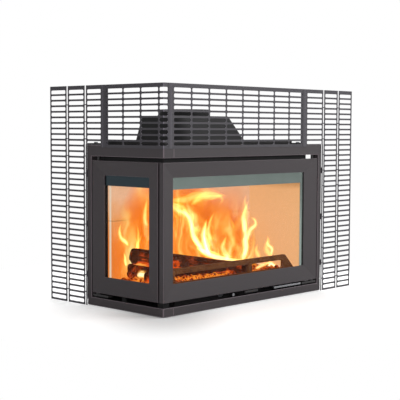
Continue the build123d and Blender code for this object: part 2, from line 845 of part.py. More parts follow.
def air_holes():
    """Bores along the joint of the back plates."""
    count = int((hearth_right - first_air_hole - air_hole_pitch) / air_hole_pitch)
    places = [first_air_hole + i * air_hole_pitch for i in range(count)]
    level = seam_level - air_hole_drop
    back = chamber_front + chamber_wall + over
    return [along_y(x, level, hearth_back - over, back, air_hole_radius) for x in places]


holes = air_holes()
chamber_inner = chamber_front + chamber_wall
chamber = block(left_rear_inner, right_wall, chamber_front, chamber_inner, brick_low, chamber_top)
chamber += block(left_rear_inner, right_wall, chamber_front, rear_wall, chamber_top,
                 chamber_top + chamber_wall)
chamber -= block(right_wall - duct_depth + duct_wall, right_wall - duct_wall, chamber_front - over,
                 chamber_inner + over, duct_low + duct_wall, duct_high - duct_wall)
save("air_chamber_wall", chamber - holes)
lower_plate = block(frame_back, right_wall, hearth_back, chamber_front, brick_low, seam_level)
save("back_burn_plate_lower", lower_plate - holes)
upper_plate = block(frame_back, right_wall, hearth_back, chamber_front, seam_level, baffle_level)
free_corner = upper_plate.edges().filter_by(Axis.Y).group_by(Axis.Z)[-1].sort_by(Axis.X)[0]
save("back_burn_plate_upper", chamfer(free_corner, plate_chamfer))
save("side_burn_plate", block(hearth_right, right_wall, frame_back, hearth_back, brick_low, baffle_level))
baffle = block(frame_back, right_wall, frame_back + baffle_throat, chamber_front, baffle_level, duct_low)
front_edge = baffle.edges().filter_by(Axis.X).group_by(Axis.Y)[0].sort_by(Axis.Z)[0]
save("smoke_baffle", chamfer(front_edge, baffle_chamfer))


def duct_run(inset, overrun):
    """U-shaped run behind the front header, along the left leaf and along the right wall."""
    far = duct_depth - inset
    low, high = duct_low + inset, duct_high - inset
    start = frame_back - overrun
    front = block(start, right_wall - inset, start, frame_back + far, low, high)
    left = block(start, frame_back + far, start, chamber_front - inset, low, high)
    right = block(right_wall - far, right_wall - inset, start, chamber_front + overrun, low, high)
    return front + left + right


duct = duct_run(0, 0) - duct_run(duct_wall, over)
slit_root, slit_end = frame_back - over, frame_back + duct_slit
for end_x, end_y in ((view_right, slit_end), (slit_end, side_view_rear)):
    duct -= block(slit_root, end_x, slit_root, end_y, duct_low - over, duct_low + duct_wall + over)
save("air_wash_duct", duct)


# Log guard: bar on sloping ends with a post, cast in one piece

def log_guard():
    """Upright frame with sloping ends, and a window each side of its post."""
    full = guard_top - hearth_floor
    sill, bar_low = guard_sill, full - guard_bar
    left, right = frame_back + guard_end_gap, hearth_right - guard_end_gap
    post_left = right - guard_post_inset - guard_post / 2
    post_right = post_left + guard_post
    lean_left, lean_right = guard_slope_left / full, guard_slope_right / full
    inner_left, inner_right = left + guard_leg, right - guard_leg
    shapes = (
        [(left, 0), (right, 0), (right - guard_slope_right, full), (left + guard_slope_left, full)],
        [(inner_left + lean_left * sill, sill), (post_left, sill), (post_left, bar_low),
         (inner_left + lean_left * bar_low, bar_low)],
        [(post_right, sill), (inner_right - lean_right * sill, sill),
         (inner_right - lean_right * bar_low, bar_low), (post_right, bar_low)],
    )
    outline, *windows = [Wire.make_polygon([(x, 0, z) for x, z in shape], close=True) for shape in shapes]
    guard = Solid.extrude(Face(outline, windows), Vector(0, guard_thickness, 0))
    guard = Pos(0, guard_front, hearth_floor) * guard
    return fillet(guard.edges().filter_by(Axis.Y).sort_by(Axis.Z)[-2:], guard_round)


save("log_guard", log_guard())

# Top plate, smoke dome and flue collar

dome_x = (frame_front + body_right) / 2
dome_back = body_back - dome_back_inset
dome_front = dome_back - dome_length
crown_back = dome_back - crown_back_inset
dome_y = (dome_front + dome_back) / 2
crown_y = crown_back - crown_length / 2
collar_y = crown_back - collar_inset - collar_wall - flue_radius

top = stepped_plate(top_level, top_wall)
mouth_reach = dome_width / 2 - dome_mouth
top -= block(dome_x - mouth_reach, dome_x + mouth_reach, dome_front + dome_mouth, dome_back - dome_mouth,
             top_level - over, dome_base + over)
save("top_plate", top)


def rounded(y, z, width, length, radius):
    """Rounded rectangle at level z."""
    return Pos(dome_x, y, z) * RectangleRounded(width, length, radius)


def dome_body(inset, z0, z1):
    """Tapered body between base and crown, drawn in by inset on every side."""
    shrink = 2 * inset
    foot = rounded(dome_y, z0, dome_width - shrink, dome_length - shrink, dome_radius - inset)
    crown = rounded(crown_y, z1, crown_width - shrink, crown_length - shrink, crown_radius - inset)
    return loft([foot, crown], ruled=True)


dome = dome_body(0, dome_base, dome_top)
dome = fillet(dome.edges().group_by(Axis.Z)[-1], crown_edge)
dome += extrude(rounded(dome_y, dome_base, dome_width + 2 * dome_flange, dome_length + 2 * dome_flange,
                        dome_radius + dome_flange), amount=dome_rim)
dome -= dome_body(dome_wall, dome_base, dome_top - dome_wall)
dome -= upright(dome_x, collar_y, dome_top - 2 * dome_wall, dome_top + over, flue_radius - pipe_seat)
save("smoke_dome", dome)
collar_top = dome_top + collar_height
seat_level = dome_top + pipe_seat
collar = upright(dome_x, collar_y, dome_top, collar_top, flue_radius + collar_wall)
collar = chamfer(collar.edges().group_by(Axis.Z)[-1], collar_chamfer)
collar -= upright(dome_x, collar_y, seat_level, collar_top + over, flue_radius)
collar -= upright(dome_x, collar_y, dome_top - over, seat_level + over, flue_radius - pipe_seat)
save("flue_collar", collar)


def bolt_heads():
    """Bolts round the dome's flange and in the corners of the top plate."""
    reach_x, reach_y = (dome_width + dome_flange) / 2, (dome_length + dome_flange) / 2
    rim_spots = [(dome_x - reach_x, dome_y), (dome_x + reach_x, dome_y)]
    for x in (dome_x - reach_x + rim_bolt_inset, dome_x, dome_x + reach_x - rim_bolt_inset):
        rim_spots += [(x, dome_y - reach_y), (x, dome_y + reach_y)]
    inset = plate_bolt_inset
    plate_spots = [(frame_front + inset, frame_front + inset), (body_right - inset, frame_front + inset),
                   (body_right - inset, body_back - inset), (body_left_rear + inset, body_back - inset),
                   (frame_front + inset, leaf_end - leaf_bolt_inset)]
    return ([hex_head(x, y, dome_base + dome_rim, rim_bolt) for x, y in rim_spots]
            + [hex_head(x, y, dome_base, plate_bolt) for x, y in plate_spots])


save("top_bolts", group(bolt_heads()))

# Air box, spigot, shutter and start-air valve

box_left, box_right = frame_front + box_inset_left, body_right - box_inset_right
box_face = box_front + box_wall
port = air_travel - box_wall
port_x = [box_right - last_port_inset - i * 2 * air_travel for i in reversed(range(port_count))]
port_low, port_high = base_top + port_low_rise, floor_level - port_high_drop
shutter_low, shutter_high = base_top + shutter_low_rise, floor_level - shutter_high_drop
start_x = box_left + start_inset
start_z = bar_level + bar_height / 2


rail_front = box_front - rail_reach


def with_ports(shape):
    """Cut the row of air ports through a plate at the front of the air box."""
    for x in port_x:
        shape -= block(x - port / 2, x + port / 2, rail_front, box_face + over, port_low, port_high)
    return shape


air_box = block(box_left, box_right, box_front, rear_wall, base_top, floor_level)
air_box -= block(box_left + box_wall, box_right - box_wall, box_face, rear_wall + over, base_top - over,
                 floor_level + over)
air_box -= along_y(start_x, start_z, box_front - over, box_face + over, start_hole)
rail_left = port_x[0] - port / 2 - 2 * air_travel
lip_back = rail_front + box_wall
for edge, side in ((shutter_high, 1), (shutter_low, -1)):
    near, far = edge + side * soft_gap, edge + side * (soft_gap + box_wall)
    lap = edge - side * rail_lap
    air_box += block(rail_left, box_right, rail_front, box_front, min(near, far), max(near, far))
    air_box += block(rail_left, box_right, rail_front, lip_back, min(lap, far), max(lap, far))
save("air_box", with_ports(air_box))

shutter_back = box_front - soft_gap
shutter_front = shutter_back - shutter_wall
shutter_right = port_x[-1] + shutter_end
shutter_left = port_x[0] - shutter_land
shutter = block(shutter_left, shutter_right, shutter_front, shutter_back, shutter_low, shutter_high)
save("air_shutter", with_ports(shutter))

bar_right = body_right - bar_inset
bar_back = bar_front + bar_depth
arm_right = shutter_right - arm_foot_wall
arm_left = arm_right - arm_width
air_bar = block(bar_right - bar_length, bar_right, bar_front, bar_back, bar_level, bar_level + bar_height)
air_bar = fillet(air_bar.edges().filter_by(Axis.Y), bar_edge)
arm_top = bar_level + arm_wall
air_bar += block(arm_left, arm_right, bar_back - arm_foot_wall, shutter_front, bar_level, arm_top)
air_bar += block(arm_left, arm_right, shutter_front - arm_foot_wall, shutter_front,
                 shutter_low + shutter_low_rise, arm_top)
save("air_control_bar", air_bar)

start = along_y(start_x, start_z, knob_front, knob_front + knob_length, knob_radius)
start += along_y(start_x, start_z, knob_front, shutter_back, start_rod)
start += along_y(start_x, start_z, shutter_front, shutter_back, start_disc)
save("start_air_knob", start)

spigot_end = body_back + spigot_length
spigot = along_y(spigot_x, spigot_z, body_back, spigot_end, spigot_radius)
spigot += along_y(spigot_x, spigot_z, body_back, body_back + spigot_flange_wall,
                  spigot_radius + spigot_flange)
spigot -= along_y(spigot_x, spigot_z, body_back - over, spigot_end + over, spigot_radius - box_wall)
save("air_inlet_spigot", spigot)


# Rear heat shield: sheet on four spacers, with slots along its upper and lower edge

def rear_heat_shield():
    """Slotted sheet that stands off the back plate, above the air spigot."""
    low = spigot_z + spigot_radius + shield_low_rise
    high = top_level - shield_top_drop
    front = body_back + shield_gap
    shield = block(body_left_rear + shield_inset, body_right - shield_inset, front, front + skin, low, high)
    for i in range(shield_slots):
        x = body_left_rear + shield_slot_start + i * shield_slot_pitch
        for z in (low + shield_slot_inset, high - shield_slot_inset - shield_slot_height):
            shield -= block(x - shield_slot / 2, x + shield_slot / 2, front - over, front + skin + over,
                            z, z + shield_slot_height)
    for x in (body_left_rear + spacer_inset, body_right - spacer_inset):
        for z in (low + spacer_low_rise, high - spacer_top_drop):
            shield += along_y(x, z, body_back, front, spacer_radius)
    return shield


save("rear_heat_shield", rear_heat_shield())

print("layout", round(wing_right_end, 2), round(wing_left_end, 2), "slot rows", len(grille_rows))
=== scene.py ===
import json
import math

import bmesh
import bpy
import numpy as np
from mathutils import Matrix, Vector

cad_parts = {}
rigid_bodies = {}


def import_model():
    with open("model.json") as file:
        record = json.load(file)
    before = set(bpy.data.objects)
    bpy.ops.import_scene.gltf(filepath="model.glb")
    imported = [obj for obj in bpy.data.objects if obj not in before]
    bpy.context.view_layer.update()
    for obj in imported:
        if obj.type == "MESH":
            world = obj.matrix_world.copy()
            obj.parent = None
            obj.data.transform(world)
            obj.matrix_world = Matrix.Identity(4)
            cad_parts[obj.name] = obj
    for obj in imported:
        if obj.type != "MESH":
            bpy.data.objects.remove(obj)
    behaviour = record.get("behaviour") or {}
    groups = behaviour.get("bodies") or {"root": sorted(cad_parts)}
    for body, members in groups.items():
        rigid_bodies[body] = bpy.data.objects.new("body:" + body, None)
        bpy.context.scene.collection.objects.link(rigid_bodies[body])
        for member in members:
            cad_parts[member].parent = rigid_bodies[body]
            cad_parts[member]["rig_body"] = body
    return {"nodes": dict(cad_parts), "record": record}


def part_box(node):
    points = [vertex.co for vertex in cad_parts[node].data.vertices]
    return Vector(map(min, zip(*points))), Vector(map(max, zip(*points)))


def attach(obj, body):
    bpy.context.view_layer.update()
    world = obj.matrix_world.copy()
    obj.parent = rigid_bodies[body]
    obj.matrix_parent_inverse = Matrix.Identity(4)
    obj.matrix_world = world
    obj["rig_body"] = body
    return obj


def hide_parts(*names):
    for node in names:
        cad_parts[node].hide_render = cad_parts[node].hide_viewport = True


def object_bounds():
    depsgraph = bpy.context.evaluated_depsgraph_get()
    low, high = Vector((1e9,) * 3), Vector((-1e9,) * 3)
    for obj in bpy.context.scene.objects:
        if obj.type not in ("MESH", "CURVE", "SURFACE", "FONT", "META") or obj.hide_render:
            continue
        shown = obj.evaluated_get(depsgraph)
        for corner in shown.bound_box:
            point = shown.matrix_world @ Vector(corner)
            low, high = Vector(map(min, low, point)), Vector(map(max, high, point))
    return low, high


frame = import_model()
nodes = frame["nodes"]
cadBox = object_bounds()
print("frame loaded:", len(nodes), "pieces")

mm = 0.001


def low(node):
    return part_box(node)[0]


def high(node):
    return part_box(node)[1]


def addObject(name, data):
    # an object in the scene: mesh, camera or lamp
    added = bpy.data.objects.new(name, data)
    bpy.context.scene.collection.objects.link(added)
    return added


# Camera: recovered from the straight edges of the photograph
camera = {
    "place": (-2.6386, -2.4670, 0.5631),  # metres, in the frame of the model
    "heading": 46.532,                    # degrees to the right of +Y
    "tilt": 3.889,                        # degrees downwards
    "roll": 0.2294,
    "lens": 94.713,                       # mm
    "sensor": 36.0,
    "farEnd": 30.0,                       # metres
}


def addCamera(spec):
    yaw, pitch, roll = (math.radians(spec[key]) for key in ("heading", "tilt", "roll"))
    ahead = Vector((math.sin(yaw) * math.cos(pitch), math.cos(yaw) * math.cos(pitch), -math.sin(pitch)))
    flatRight = Vector((math.cos(yaw), -math.sin(yaw), 0))
    flatUp = flatRight.cross(ahead)
    right = math.cos(roll) * flatRight + math.sin(roll) * flatUp
    up = math.cos(roll) * flatUp - math.sin(roll) * flatRight
    data = bpy.data.cameras.new("photoCamera")
    data.lens, data.sensor_width, data.clip_end = spec["lens"], spec["sensor"], spec["farEnd"]
    seen = addObject("photoCamera", data)
    turn = Matrix((right, up, -ahead)).transposed().to_4x4()
    seen.matrix_world = Matrix.Translation(spec["place"]) @ turn
    bpy.context.scene.camera = seen


addCamera(camera)
bpy.context.scene.view_settings.view_transform = "Standard"
bpy.context.scene.cycles.transparent_max_bounces = 32   # layers of gas behind the glass
print("camera placed")


# Materials

def linear(code):
    # "#rrggbb" in sRGB to linear RGBA
    channels = [int(code[i:i + 2], 16) / 255 for i in (1, 3, 5)]
    return tuple(c / 12.92 if c <= 0.04045 else ((c + 0.055) / 1.055) ** 2.4 for c in channels) + (1.0,)


def addNode(material, kind, settings=None):
    # settings: an attribute or a socket -> its value, or what feeds it: an output, or a node, which
    # feeds from its first output in use
    tree = material.node_tree
    node = tree.nodes.new("ShaderNode" + kind)
    for key, value in (settings or {}).items():
        if isinstance(value, bpy.types.Node):
            value = next(output for output in value.outputs if output.enabled)
        if isinstance(value, bpy.types.NodeSocket):
            tree.links.new(node.inputs[key], value)
        elif isinstance(key, str) and key not in node.inputs:
            setattr(node, key, value)
        else:
            node.inputs[key].default_value = value
    return node


def newMaterial(name):
    # an empty material, the function that adds a node to it, and the place on the piece in metres
    material = bpy.data.materials.new(name)
    material.use_nodes = True
    material.node_tree.nodes.clear()

    def add(kind, settings=None):
        return addNode(material, kind, settings)

    return material, add, add("TexCoord").outputs["Object"]


def compute(add, operation, *operands, kind="Math"):
    # operands: numbers or vectors, or what feeds them
    return add(kind, {"operation": operation, **dict(enumerate(operands))})


def noise(add, place, scale, detail, roughness=0.5, **more):
    # scale is the number of clouds per unit of place, more names further attributes and sockets
    return add("TexNoise", {**more, "Scale": scale, "Detail": detail, "Roughness": roughness,
                            "Vector": place})


def remap(add, value, target, source=(0.0, 1.0), **more):
    # carries value from the range source to the range target
    return add("MapRange", {**more, "From Min": source[0], "From Max": source[1], "To Min": target[0],
                            "To Max": target[1], "Value": value})


def ramp(add, value, stops):
    # stops: (position, hex colour or grey number)
    node = add("ValToRGB", {"Fac": value})
    elements = node.color_ramp.elements
    while len(elements) < len(stops):
        elements.new(0.5)
    for element, (position, colour) in zip(elements, stops):
        element.position = position
        element.color = linear(colour) if isinstance(colour, str) else (colour, colour, colour, 1)
    return node.outputs["Color"]


def closeMaterial(material, shader):
    addNode(material, "OutputMaterial", {"Surface": shader})
    return material


def withSurface(material, settings):
    return closeMaterial(material, addNode(material, "BsdfPrincipled", settings))


paintCoat = {
    "clouds": 9.0,          # of the mottling, per metre
    "sheenSpread": 0.07,
    # the painted edge highlight begins at turnStarts and is full at turnEnds
    "turnStarts": 0.978,    # largest part of the normal 12 degrees off a face
    "turnEnds": 0.950,      # and 18 degrees off it
}


def stovePaint(name, colour, roughness, grain, lift, mottling=0.10, paintedEdgeHighlight=0.0):
    # Matt heat-proof paint sprayed on iron or sheet: no colour of its own but a fine orange-peel
    # grain, slightly uneven sheen and a faint mottling. grain is the width of one bump in mm, lift its
    # height. Where the surface turns between two flat faces, the last argument sets a painted highlight:
    # the paint is made lighter along folds and rounded edges.
    material, add, place = newMaterial(name)
    fine = noise(add, place, 1000 / grain, 3.0, 0.6)
    broad = noise(add, place, paintCoat["clouds"], 4.0, 0.65)
    facing = compute(add, "ABSOLUTE", place.node.outputs["Normal"], kind="VectorMath")
    parts = add("SeparateXYZ", {"Vector": facing}).outputs
    wider = compute(add, "MAXIMUM", parts["X"], parts["Y"])
    flat = compute(add, "MAXIMUM", wider, parts["Z"])
    # painted highlight: lighter paint where the normal turns between the faces' axes
    edge = remap(add, flat, (0.0, paintedEdgeHighlight), (paintCoat["turnStarts"], paintCoat["turnEnds"]))
    tone = remap(add, broad, (1 - mottling, 1 + mottling), (0.3, 0.7))
    mottleAndHighlight = compute(add, "ADD", tone, edge)
    shade = add("VectorMath", {"operation": "SCALE", 0: linear(colour)[:3], "Scale": mottleAndHighlight})
    spread = paintCoat["sheenSpread"]
    sheen = remap(add, broad, (roughness - spread, roughness + spread))
    bump = add("Bump", {"Strength": 0.35, "Distance": lift * mm, "Height": fine})
    return withSurface(material, {"Metallic": 0.0, "IOR": 1.5, "Base Color": shade, "Roughness": sheen,
                                  "Normal": bump})


def zincSteel(name, colour, roughness):
    # Turned and zinc-plated steel: grey metal with a soft, slightly uneven shine
    material, add, place = newMaterial(name)
    spots = noise(add, place, 400.0, 2.0)
    sheen = remap(add, spots, (roughness - 0.08, roughness + 0.1))
    return withSurface(material, {"Metallic": 1.0, "Base Color": linear(colour), "Roughness": sheen})


def heatGlass(name):
    # Clear glass-ceramic pane: nearly invisible but for its reflections and a faint warm tint
    material, add, _ = newMaterial(name)
    return withSurface(material, {"Base Color": linear("#2a2622"), "Roughness": 0.02, "IOR": 1.5,
                                  "Alpha": 0.07})


def mirrorPrint(name, colour):
    # Heat-reflecting print fired on the pane's border: a dim mirror; its grey-green colour is given per
    # pane, paler on the front as a painted reflection and darker on the side as painted shade
    material, add, place = newMaterial(name)
    streak = add("Mapping", {"Scale": (40.0, 40.0, 6.0), "Vector": place})
    streaks = noise(add, streak, 1.0, 2.0)
    sheen = remap(add, streaks, (0.12, 0.22))
    return withSurface(material, {"Metallic": 0.85, "Base Color": linear(colour), "Roughness": sheen})


clay = {
    "cloudShift": 0.10,      # how far clouds move the ramp of the painted firelight
    # painted shade: an amber band under the baffle, above a level that waves with the clouds
    "shadeWaver": 0.03, "shadeFade": 0.03, "shadeShare": 0.75, "underBaffleShade": "#a8702c",
    "seamHalf": 0.0016, "seamShade": -0.35,
    # painted highlight: a pale line on the plates' free end, its half width and colour
    "highlightHalf": 0.0045, "paintedHighlight": "#f7dcc0",
    # glow is the strength of the emission that carries the painted firelight
    "glow": 0.80, "reflected": 0.3,
    "outside": -9.0,         # metres, a level or depth that no plate reaches
}


def plateWithPaintedFirelight(name, heat, centre, squeeze, shadeLevel, joint=clay["outside"], paintedHighlightDepth=clay["outside"]):
    # Pressed vermiculite: sandy plate with fine flakes, whose firelight is painted in as emission. heat is a
    # ramp of painted firelight colours over the distance in metres from the fire's centre; above the shade
    # level an amber band of painted shade darkens the plate under the baffle. joint is the level of the dark
    # seam between two plates; a pale painted highlight runs along their free end at the depth given last.
    material, add, place = newMaterial(name)
    flakes = add("TexVoronoi", {"Scale": 260.0, "Randomness": 1.0, "Vector": place})
    clouds = noise(add, place, 9.0, 4.0, 0.6)
    shift = tuple(-c * s for c, s in zip(centre, squeeze))
    fromFire = add("Mapping", {"Location": shift, "Scale": squeeze, "Vector": place})
    reach = compute(add, "LENGTH", fromFire, kind="VectorMath")
    uneven = compute(add, "MULTIPLY_ADD", clouds, clay["cloudShift"], reach)
    # painted firelight: the colour follows the distance from the fire
    lit = ramp(add, uneven, heat)
    level = add("SeparateXYZ", {"Vector": place}).outputs
    # painted shade under the baffle, darker above the given level
    shadeHeight = compute(add, "MULTIPLY_ADD", clouds, clay["shadeWaver"], level["Z"])
    underBaffleShade = remap(add, shadeHeight, (0.0, clay["shadeShare"]), (shadeLevel, shadeLevel + clay["shadeFade"]))
    litAndShaded = add("Mix", {"data_type": "RGBA", 0: underBaffleShade, 6: lit, 7: linear(clay["underBaffleShade"])})
    grain = remap(add, flakes, (0.9, 1.05))
    seam = compute(add, "COMPARE", level["Z"], joint, clay["seamHalf"])
    seamed = compute(add, "MULTIPLY_ADD", seam, clay["seamShade"], grain)
    # painted highlight along the plates' free end
    onHighlight = compute(add, "COMPARE", level["Y"], paintedHighlightDepth, clay["highlightHalf"])
    highlighted = add("Mix", {"data_type": "RGBA", 0: onHighlight, 6: litAndShaded, 7: linear(clay["paintedHighlight"])})
    colour = add("VectorMath", {"operation": "SCALE", 0: highlighted, "Scale": seamed})
    shade = add("VectorMath", {"operation": "SCALE", 0: colour, "Scale": clay["reflected"]})
    bump = add("Bump", {"Strength": 0.3, "Distance": 0.6 * mm, "Height": flakes})
    # the emission carries the painted firelight
    return withSurface(material, {"Roughness": 0.95, "Emission Strength": clay["glow"], "Base Color": shade,
                                  "Emission Color": colour, "Normal": bump})


def castingWithPaintedFirelight(name):
    # Cast iron bar in the heat: rusty brown oxide scale over a sand-cast grain, and a weak emission of
    # the same colour that is painted firelight
    material, add, place = newMaterial(name)
    scale = noise(add, place, 60.0, 5.0, 0.7)
    colour = ramp(add, scale, [(0.3, "#43220c"), (0.55, "#653a1a"), (0.75, "#80502a")])
    bump = add("Bump", {"Strength": 0.5, "Distance": 0.5 * mm, "Height": scale})
    # the emission is painted firelight on the bar
    return withSurface(material, {"Roughness": 0.8, "Specular IOR Level": 0.15, "Emission Strength": 0.14,
                                  "Base Color": colour, "Emission Color": colour, "Normal": bump})


def glassRope(name):
    # Braided glass-fibre rope, grey with soot. One strand is 2 mm wide.
    material, add, place = newMaterial(name)
    strands = add("TexWave", {"bands_direction": "DIAGONAL", "Scale": 160.0, "Distortion": 1.5,
                              "Vector": place}).outputs["Fac"]
    colour = ramp(add, strands, [(0.0, "#2b2926"), (1.0, "#6a655c")])
    bump = add("Bump", {"Strength": 0.7, "Distance": 0.8 * mm, "Height": strands})
    return withSurface(material, {"Roughness": 0.95, "Base Color": colour, "Normal": bump})


def charredWood(name, barkDark, barkLight, embers):
    # Burning birch or beech: black-brown bark with lengthwise cracks, glowing where it has burnt through
    # and on its underside
    material, add, place = newMaterial(name)
    along = add("Mapping", {"Scale": (12.0, 60.0, 60.0), "Vector": place})
    bark = noise(add, along, 1.0, 6.0, 0.7, Distortion=0.4)
    colour = ramp(add, bark, [(0.35, barkDark), (0.6, barkLight), (0.75, "#6a3512")])
    patches = noise(add, place, 28.0, 4.0, 0.6)
    upwards = add("SeparateXYZ", {"Vector": place.node.outputs["Normal"]}).outputs["Z"]
    glowSide = remap(add, upwards, (0.0, 0.35), (0.3, -0.9))
    total = compute(add, "ADD", patches, glowSide)
    glow = ramp(add, total, [(0.56, "#000000"), (0.66, "#8a2a05"), (0.8, embers), (0.95, "#ffb04a")])
    bump = add("Bump", {"Strength": 0.9, "Distance": 2.5 * mm, "Height": bark})
    return withSurface(material, {"Roughness": 0.9, "Specular IOR Level": 0.1, "Emission Strength": 1.0,
                                  "Base Color": colour, "Emission Color": glow, "Normal": bump})


def glowingEmbers(name):
    # Charcoal bed: black crust with orange-red light in every crack between the coals
    material, add, place = newMaterial(name)
    warp = noise(add, place, 30.0, 3.0).outputs["Color"]
    bent = compute(add, "MULTIPLY_ADD", warp, (0.03, 0.03, 0.03), place, kind="VectorMath")
    coals = add("TexVoronoi", {"feature": "DISTANCE_TO_EDGE", "Scale": 75.0, "Vector": bent})
    patches = noise(add, place, 16.0, 2.0)
    lit = remap(add, patches, (0.0, 0.45), (0.4, 0.65))
    crack = remap(add, coals, (0.75, 0.0), (0.0, 0.28))
    total = compute(add, "ADD", lit, crack)
    glow = ramp(add, total, [(0.12, "#160502"), (0.42, "#6a1e05"), (0.75, "#cc4a0a"), (1.0, "#ff9428")])
    bump = add("Bump", {"Strength": 0.8, "Distance": 3 * mm, "Height": coals})
    return withSurface(material, {"Roughness": 0.95, "Specular IOR Level": 0.1, "Emission Strength": 1.0,
                                  "Base Color": linear("#2a1208"), "Emission Color": glow, "Normal": bump})


flameColours = [(0.0, "#f0680f"), (0.25, "#fa7f20"), (0.45, "#ff9a38"), (0.6, "#ffc05c"), (0.75, "#ffe088"),
                (0.88, "#fff2b4"), (1.0, "#fffbe0")]
hotterBy = 0.35     # how much brighter the hottest gas is than the coolest


def burningGas(material, add, heat, cover, strength, veil):
    # adds the light of the flame where its gas covers; veil is how much of what lies behind it hides
    colour = ramp(add, heat, flameColours)
    hotter = compute(add, "MULTIPLY_ADD", heat, hotterBy * strength, strength)
    power = compute(add, "MULTIPLY", hotter, cover)
    light = add("Emission", {"Color": colour, "Strength": power})
    dim = compute(add, "MULTIPLY_ADD", cover, -veil, 1.0)
    clear = add("BsdfTransparent", {"Color": dim})
    return closeMaterial(material, add("AddShader", {0: clear, 1: light}))


gasCloud = {
    "swirl": 6.5,                   # swirls per metre
    "bend": (0.22, 0.10, 0.16),     # metres that a swirl pushes the billows
    "stretch": (1.0, 0.6, 0.34),    # billows are narrow across and long upwards
    "second": 3.0,                  # from the seed of the swirls to the seed of the billows
    "frame": 0.55,                  # how much the curtain's own outline decides what burns
    "veil": 0.94,
}


def flameCurtain(name, seed, grain, fullness, opacity):
    # Wood flames as a mass: billows stretched upwards and bent sideways, orange in the thin gas and
    # yellow where it is dense. grain is billows per metre, fullness how much of the curtain burns.
    material, add, place = newMaterial(name)
    swirl = noise(add, place, gasCloud["swirl"], 3.0, noise_dimensions="4D", W=seed).outputs["Color"]
    centred = compute(add, "SUBTRACT", swirl, (0.5, 0.5, 0.5), kind="VectorMath")
    bent = compute(add, "MULTIPLY_ADD", centred, gasCloud["bend"], place, kind="VectorMath")
    rise = add("Mapping", {"Scale": [grain * part for part in gasCloud["stretch"]], "Vector": bent})
    gas = noise(add, rise, 1.0, 3.0, noise_dimensions="4D", W=seed + gasCloud["second"])
    across = add("SeparateXYZ", {"Vector": add("UVMap")}).outputs
    body = ramp(add, across["Y"], [(0.0, 0.16), (0.3, 0.08), (0.6, 0.0), (1.0, 0.0)])
    dense = remap(add, gas, (0.0, 1.0), (0.40, 0.82))
    heat = compute(add, "ADD", dense, body)
    sides = ramp(add, across["X"], [(0.0, 0.0), (0.05, 0.35), (0.16, 1.0), (0.74, 1.0), (1.0, 0.0)])
    crown = ramp(add, across["Y"], [(0.0, 1.0), (0.55, 0.85), (1.0, 0.0)])
    outline = compute(add, "MULTIPLY", sides, crown)
    reach = compute(add, "MULTIPLY_ADD", outline, gasCloud["frame"], fullness - gasCloud["frame"])
    held = compute(add, "ADD", dense, reach)
    shown = remap(add, held, (0.0, opacity), (0.36, 0.72), interpolation_type="SMOOTHSTEP")
    cover = compute(add, "MULTIPLY", shown, outline)
    return burningGas(material, add, heat, cover, 1.0, gasCloud["veil"])


fibre = {"across": 5.0, "along": 3.0, "wander": 0.45, "coolest": 0.3, "light": 0.55}


def flameTongue(name, hottest, opacity):
    # One tongue of burning gas: its place across and along is its UV map, hottest along its middle and
    # near its root, with a fibrous edge
    material, add, _ = newMaterial(name)
    place = add("UVMap")
    fibres = add("Mapping", {"Scale": (fibre["across"], fibre["along"], 1.0), "Vector": place})
    strands = noise(add, fibres, 1.6, 3.0)
    across = add("SeparateXYZ", {"Vector": place}).outputs
    moved = compute(add, "MULTIPLY_ADD", strands, fibre["wander"], -fibre["wander"] / 2)
    offset = compute(add, "ADD", across["X"], moved)
    middle = ramp(add, offset, [(0.04, 0.0), (0.25, 0.3), (0.42, 0.95), (0.58, 0.95), (0.75, 0.3),
                                (0.96, 0.0)])
    along = ramp(add, across["Y"], [(0.0, 0.35), (0.12, 0.95), (0.6, 0.85), (0.85, 0.5), (1.0, 0.0)])
    heat = compute(add, "MULTIPLY", middle, along)
    scaled = compute(add, "MULTIPLY_ADD", heat, hottest - fibre["coolest"], fibre["coolest"])
    cover = remap(add, heat, (0.0, opacity), (0.03, 0.6), interpolation_type="SMOOTHSTEP")
    return burningGas(material, add, scaled, cover, fibre["light"], 0.0)


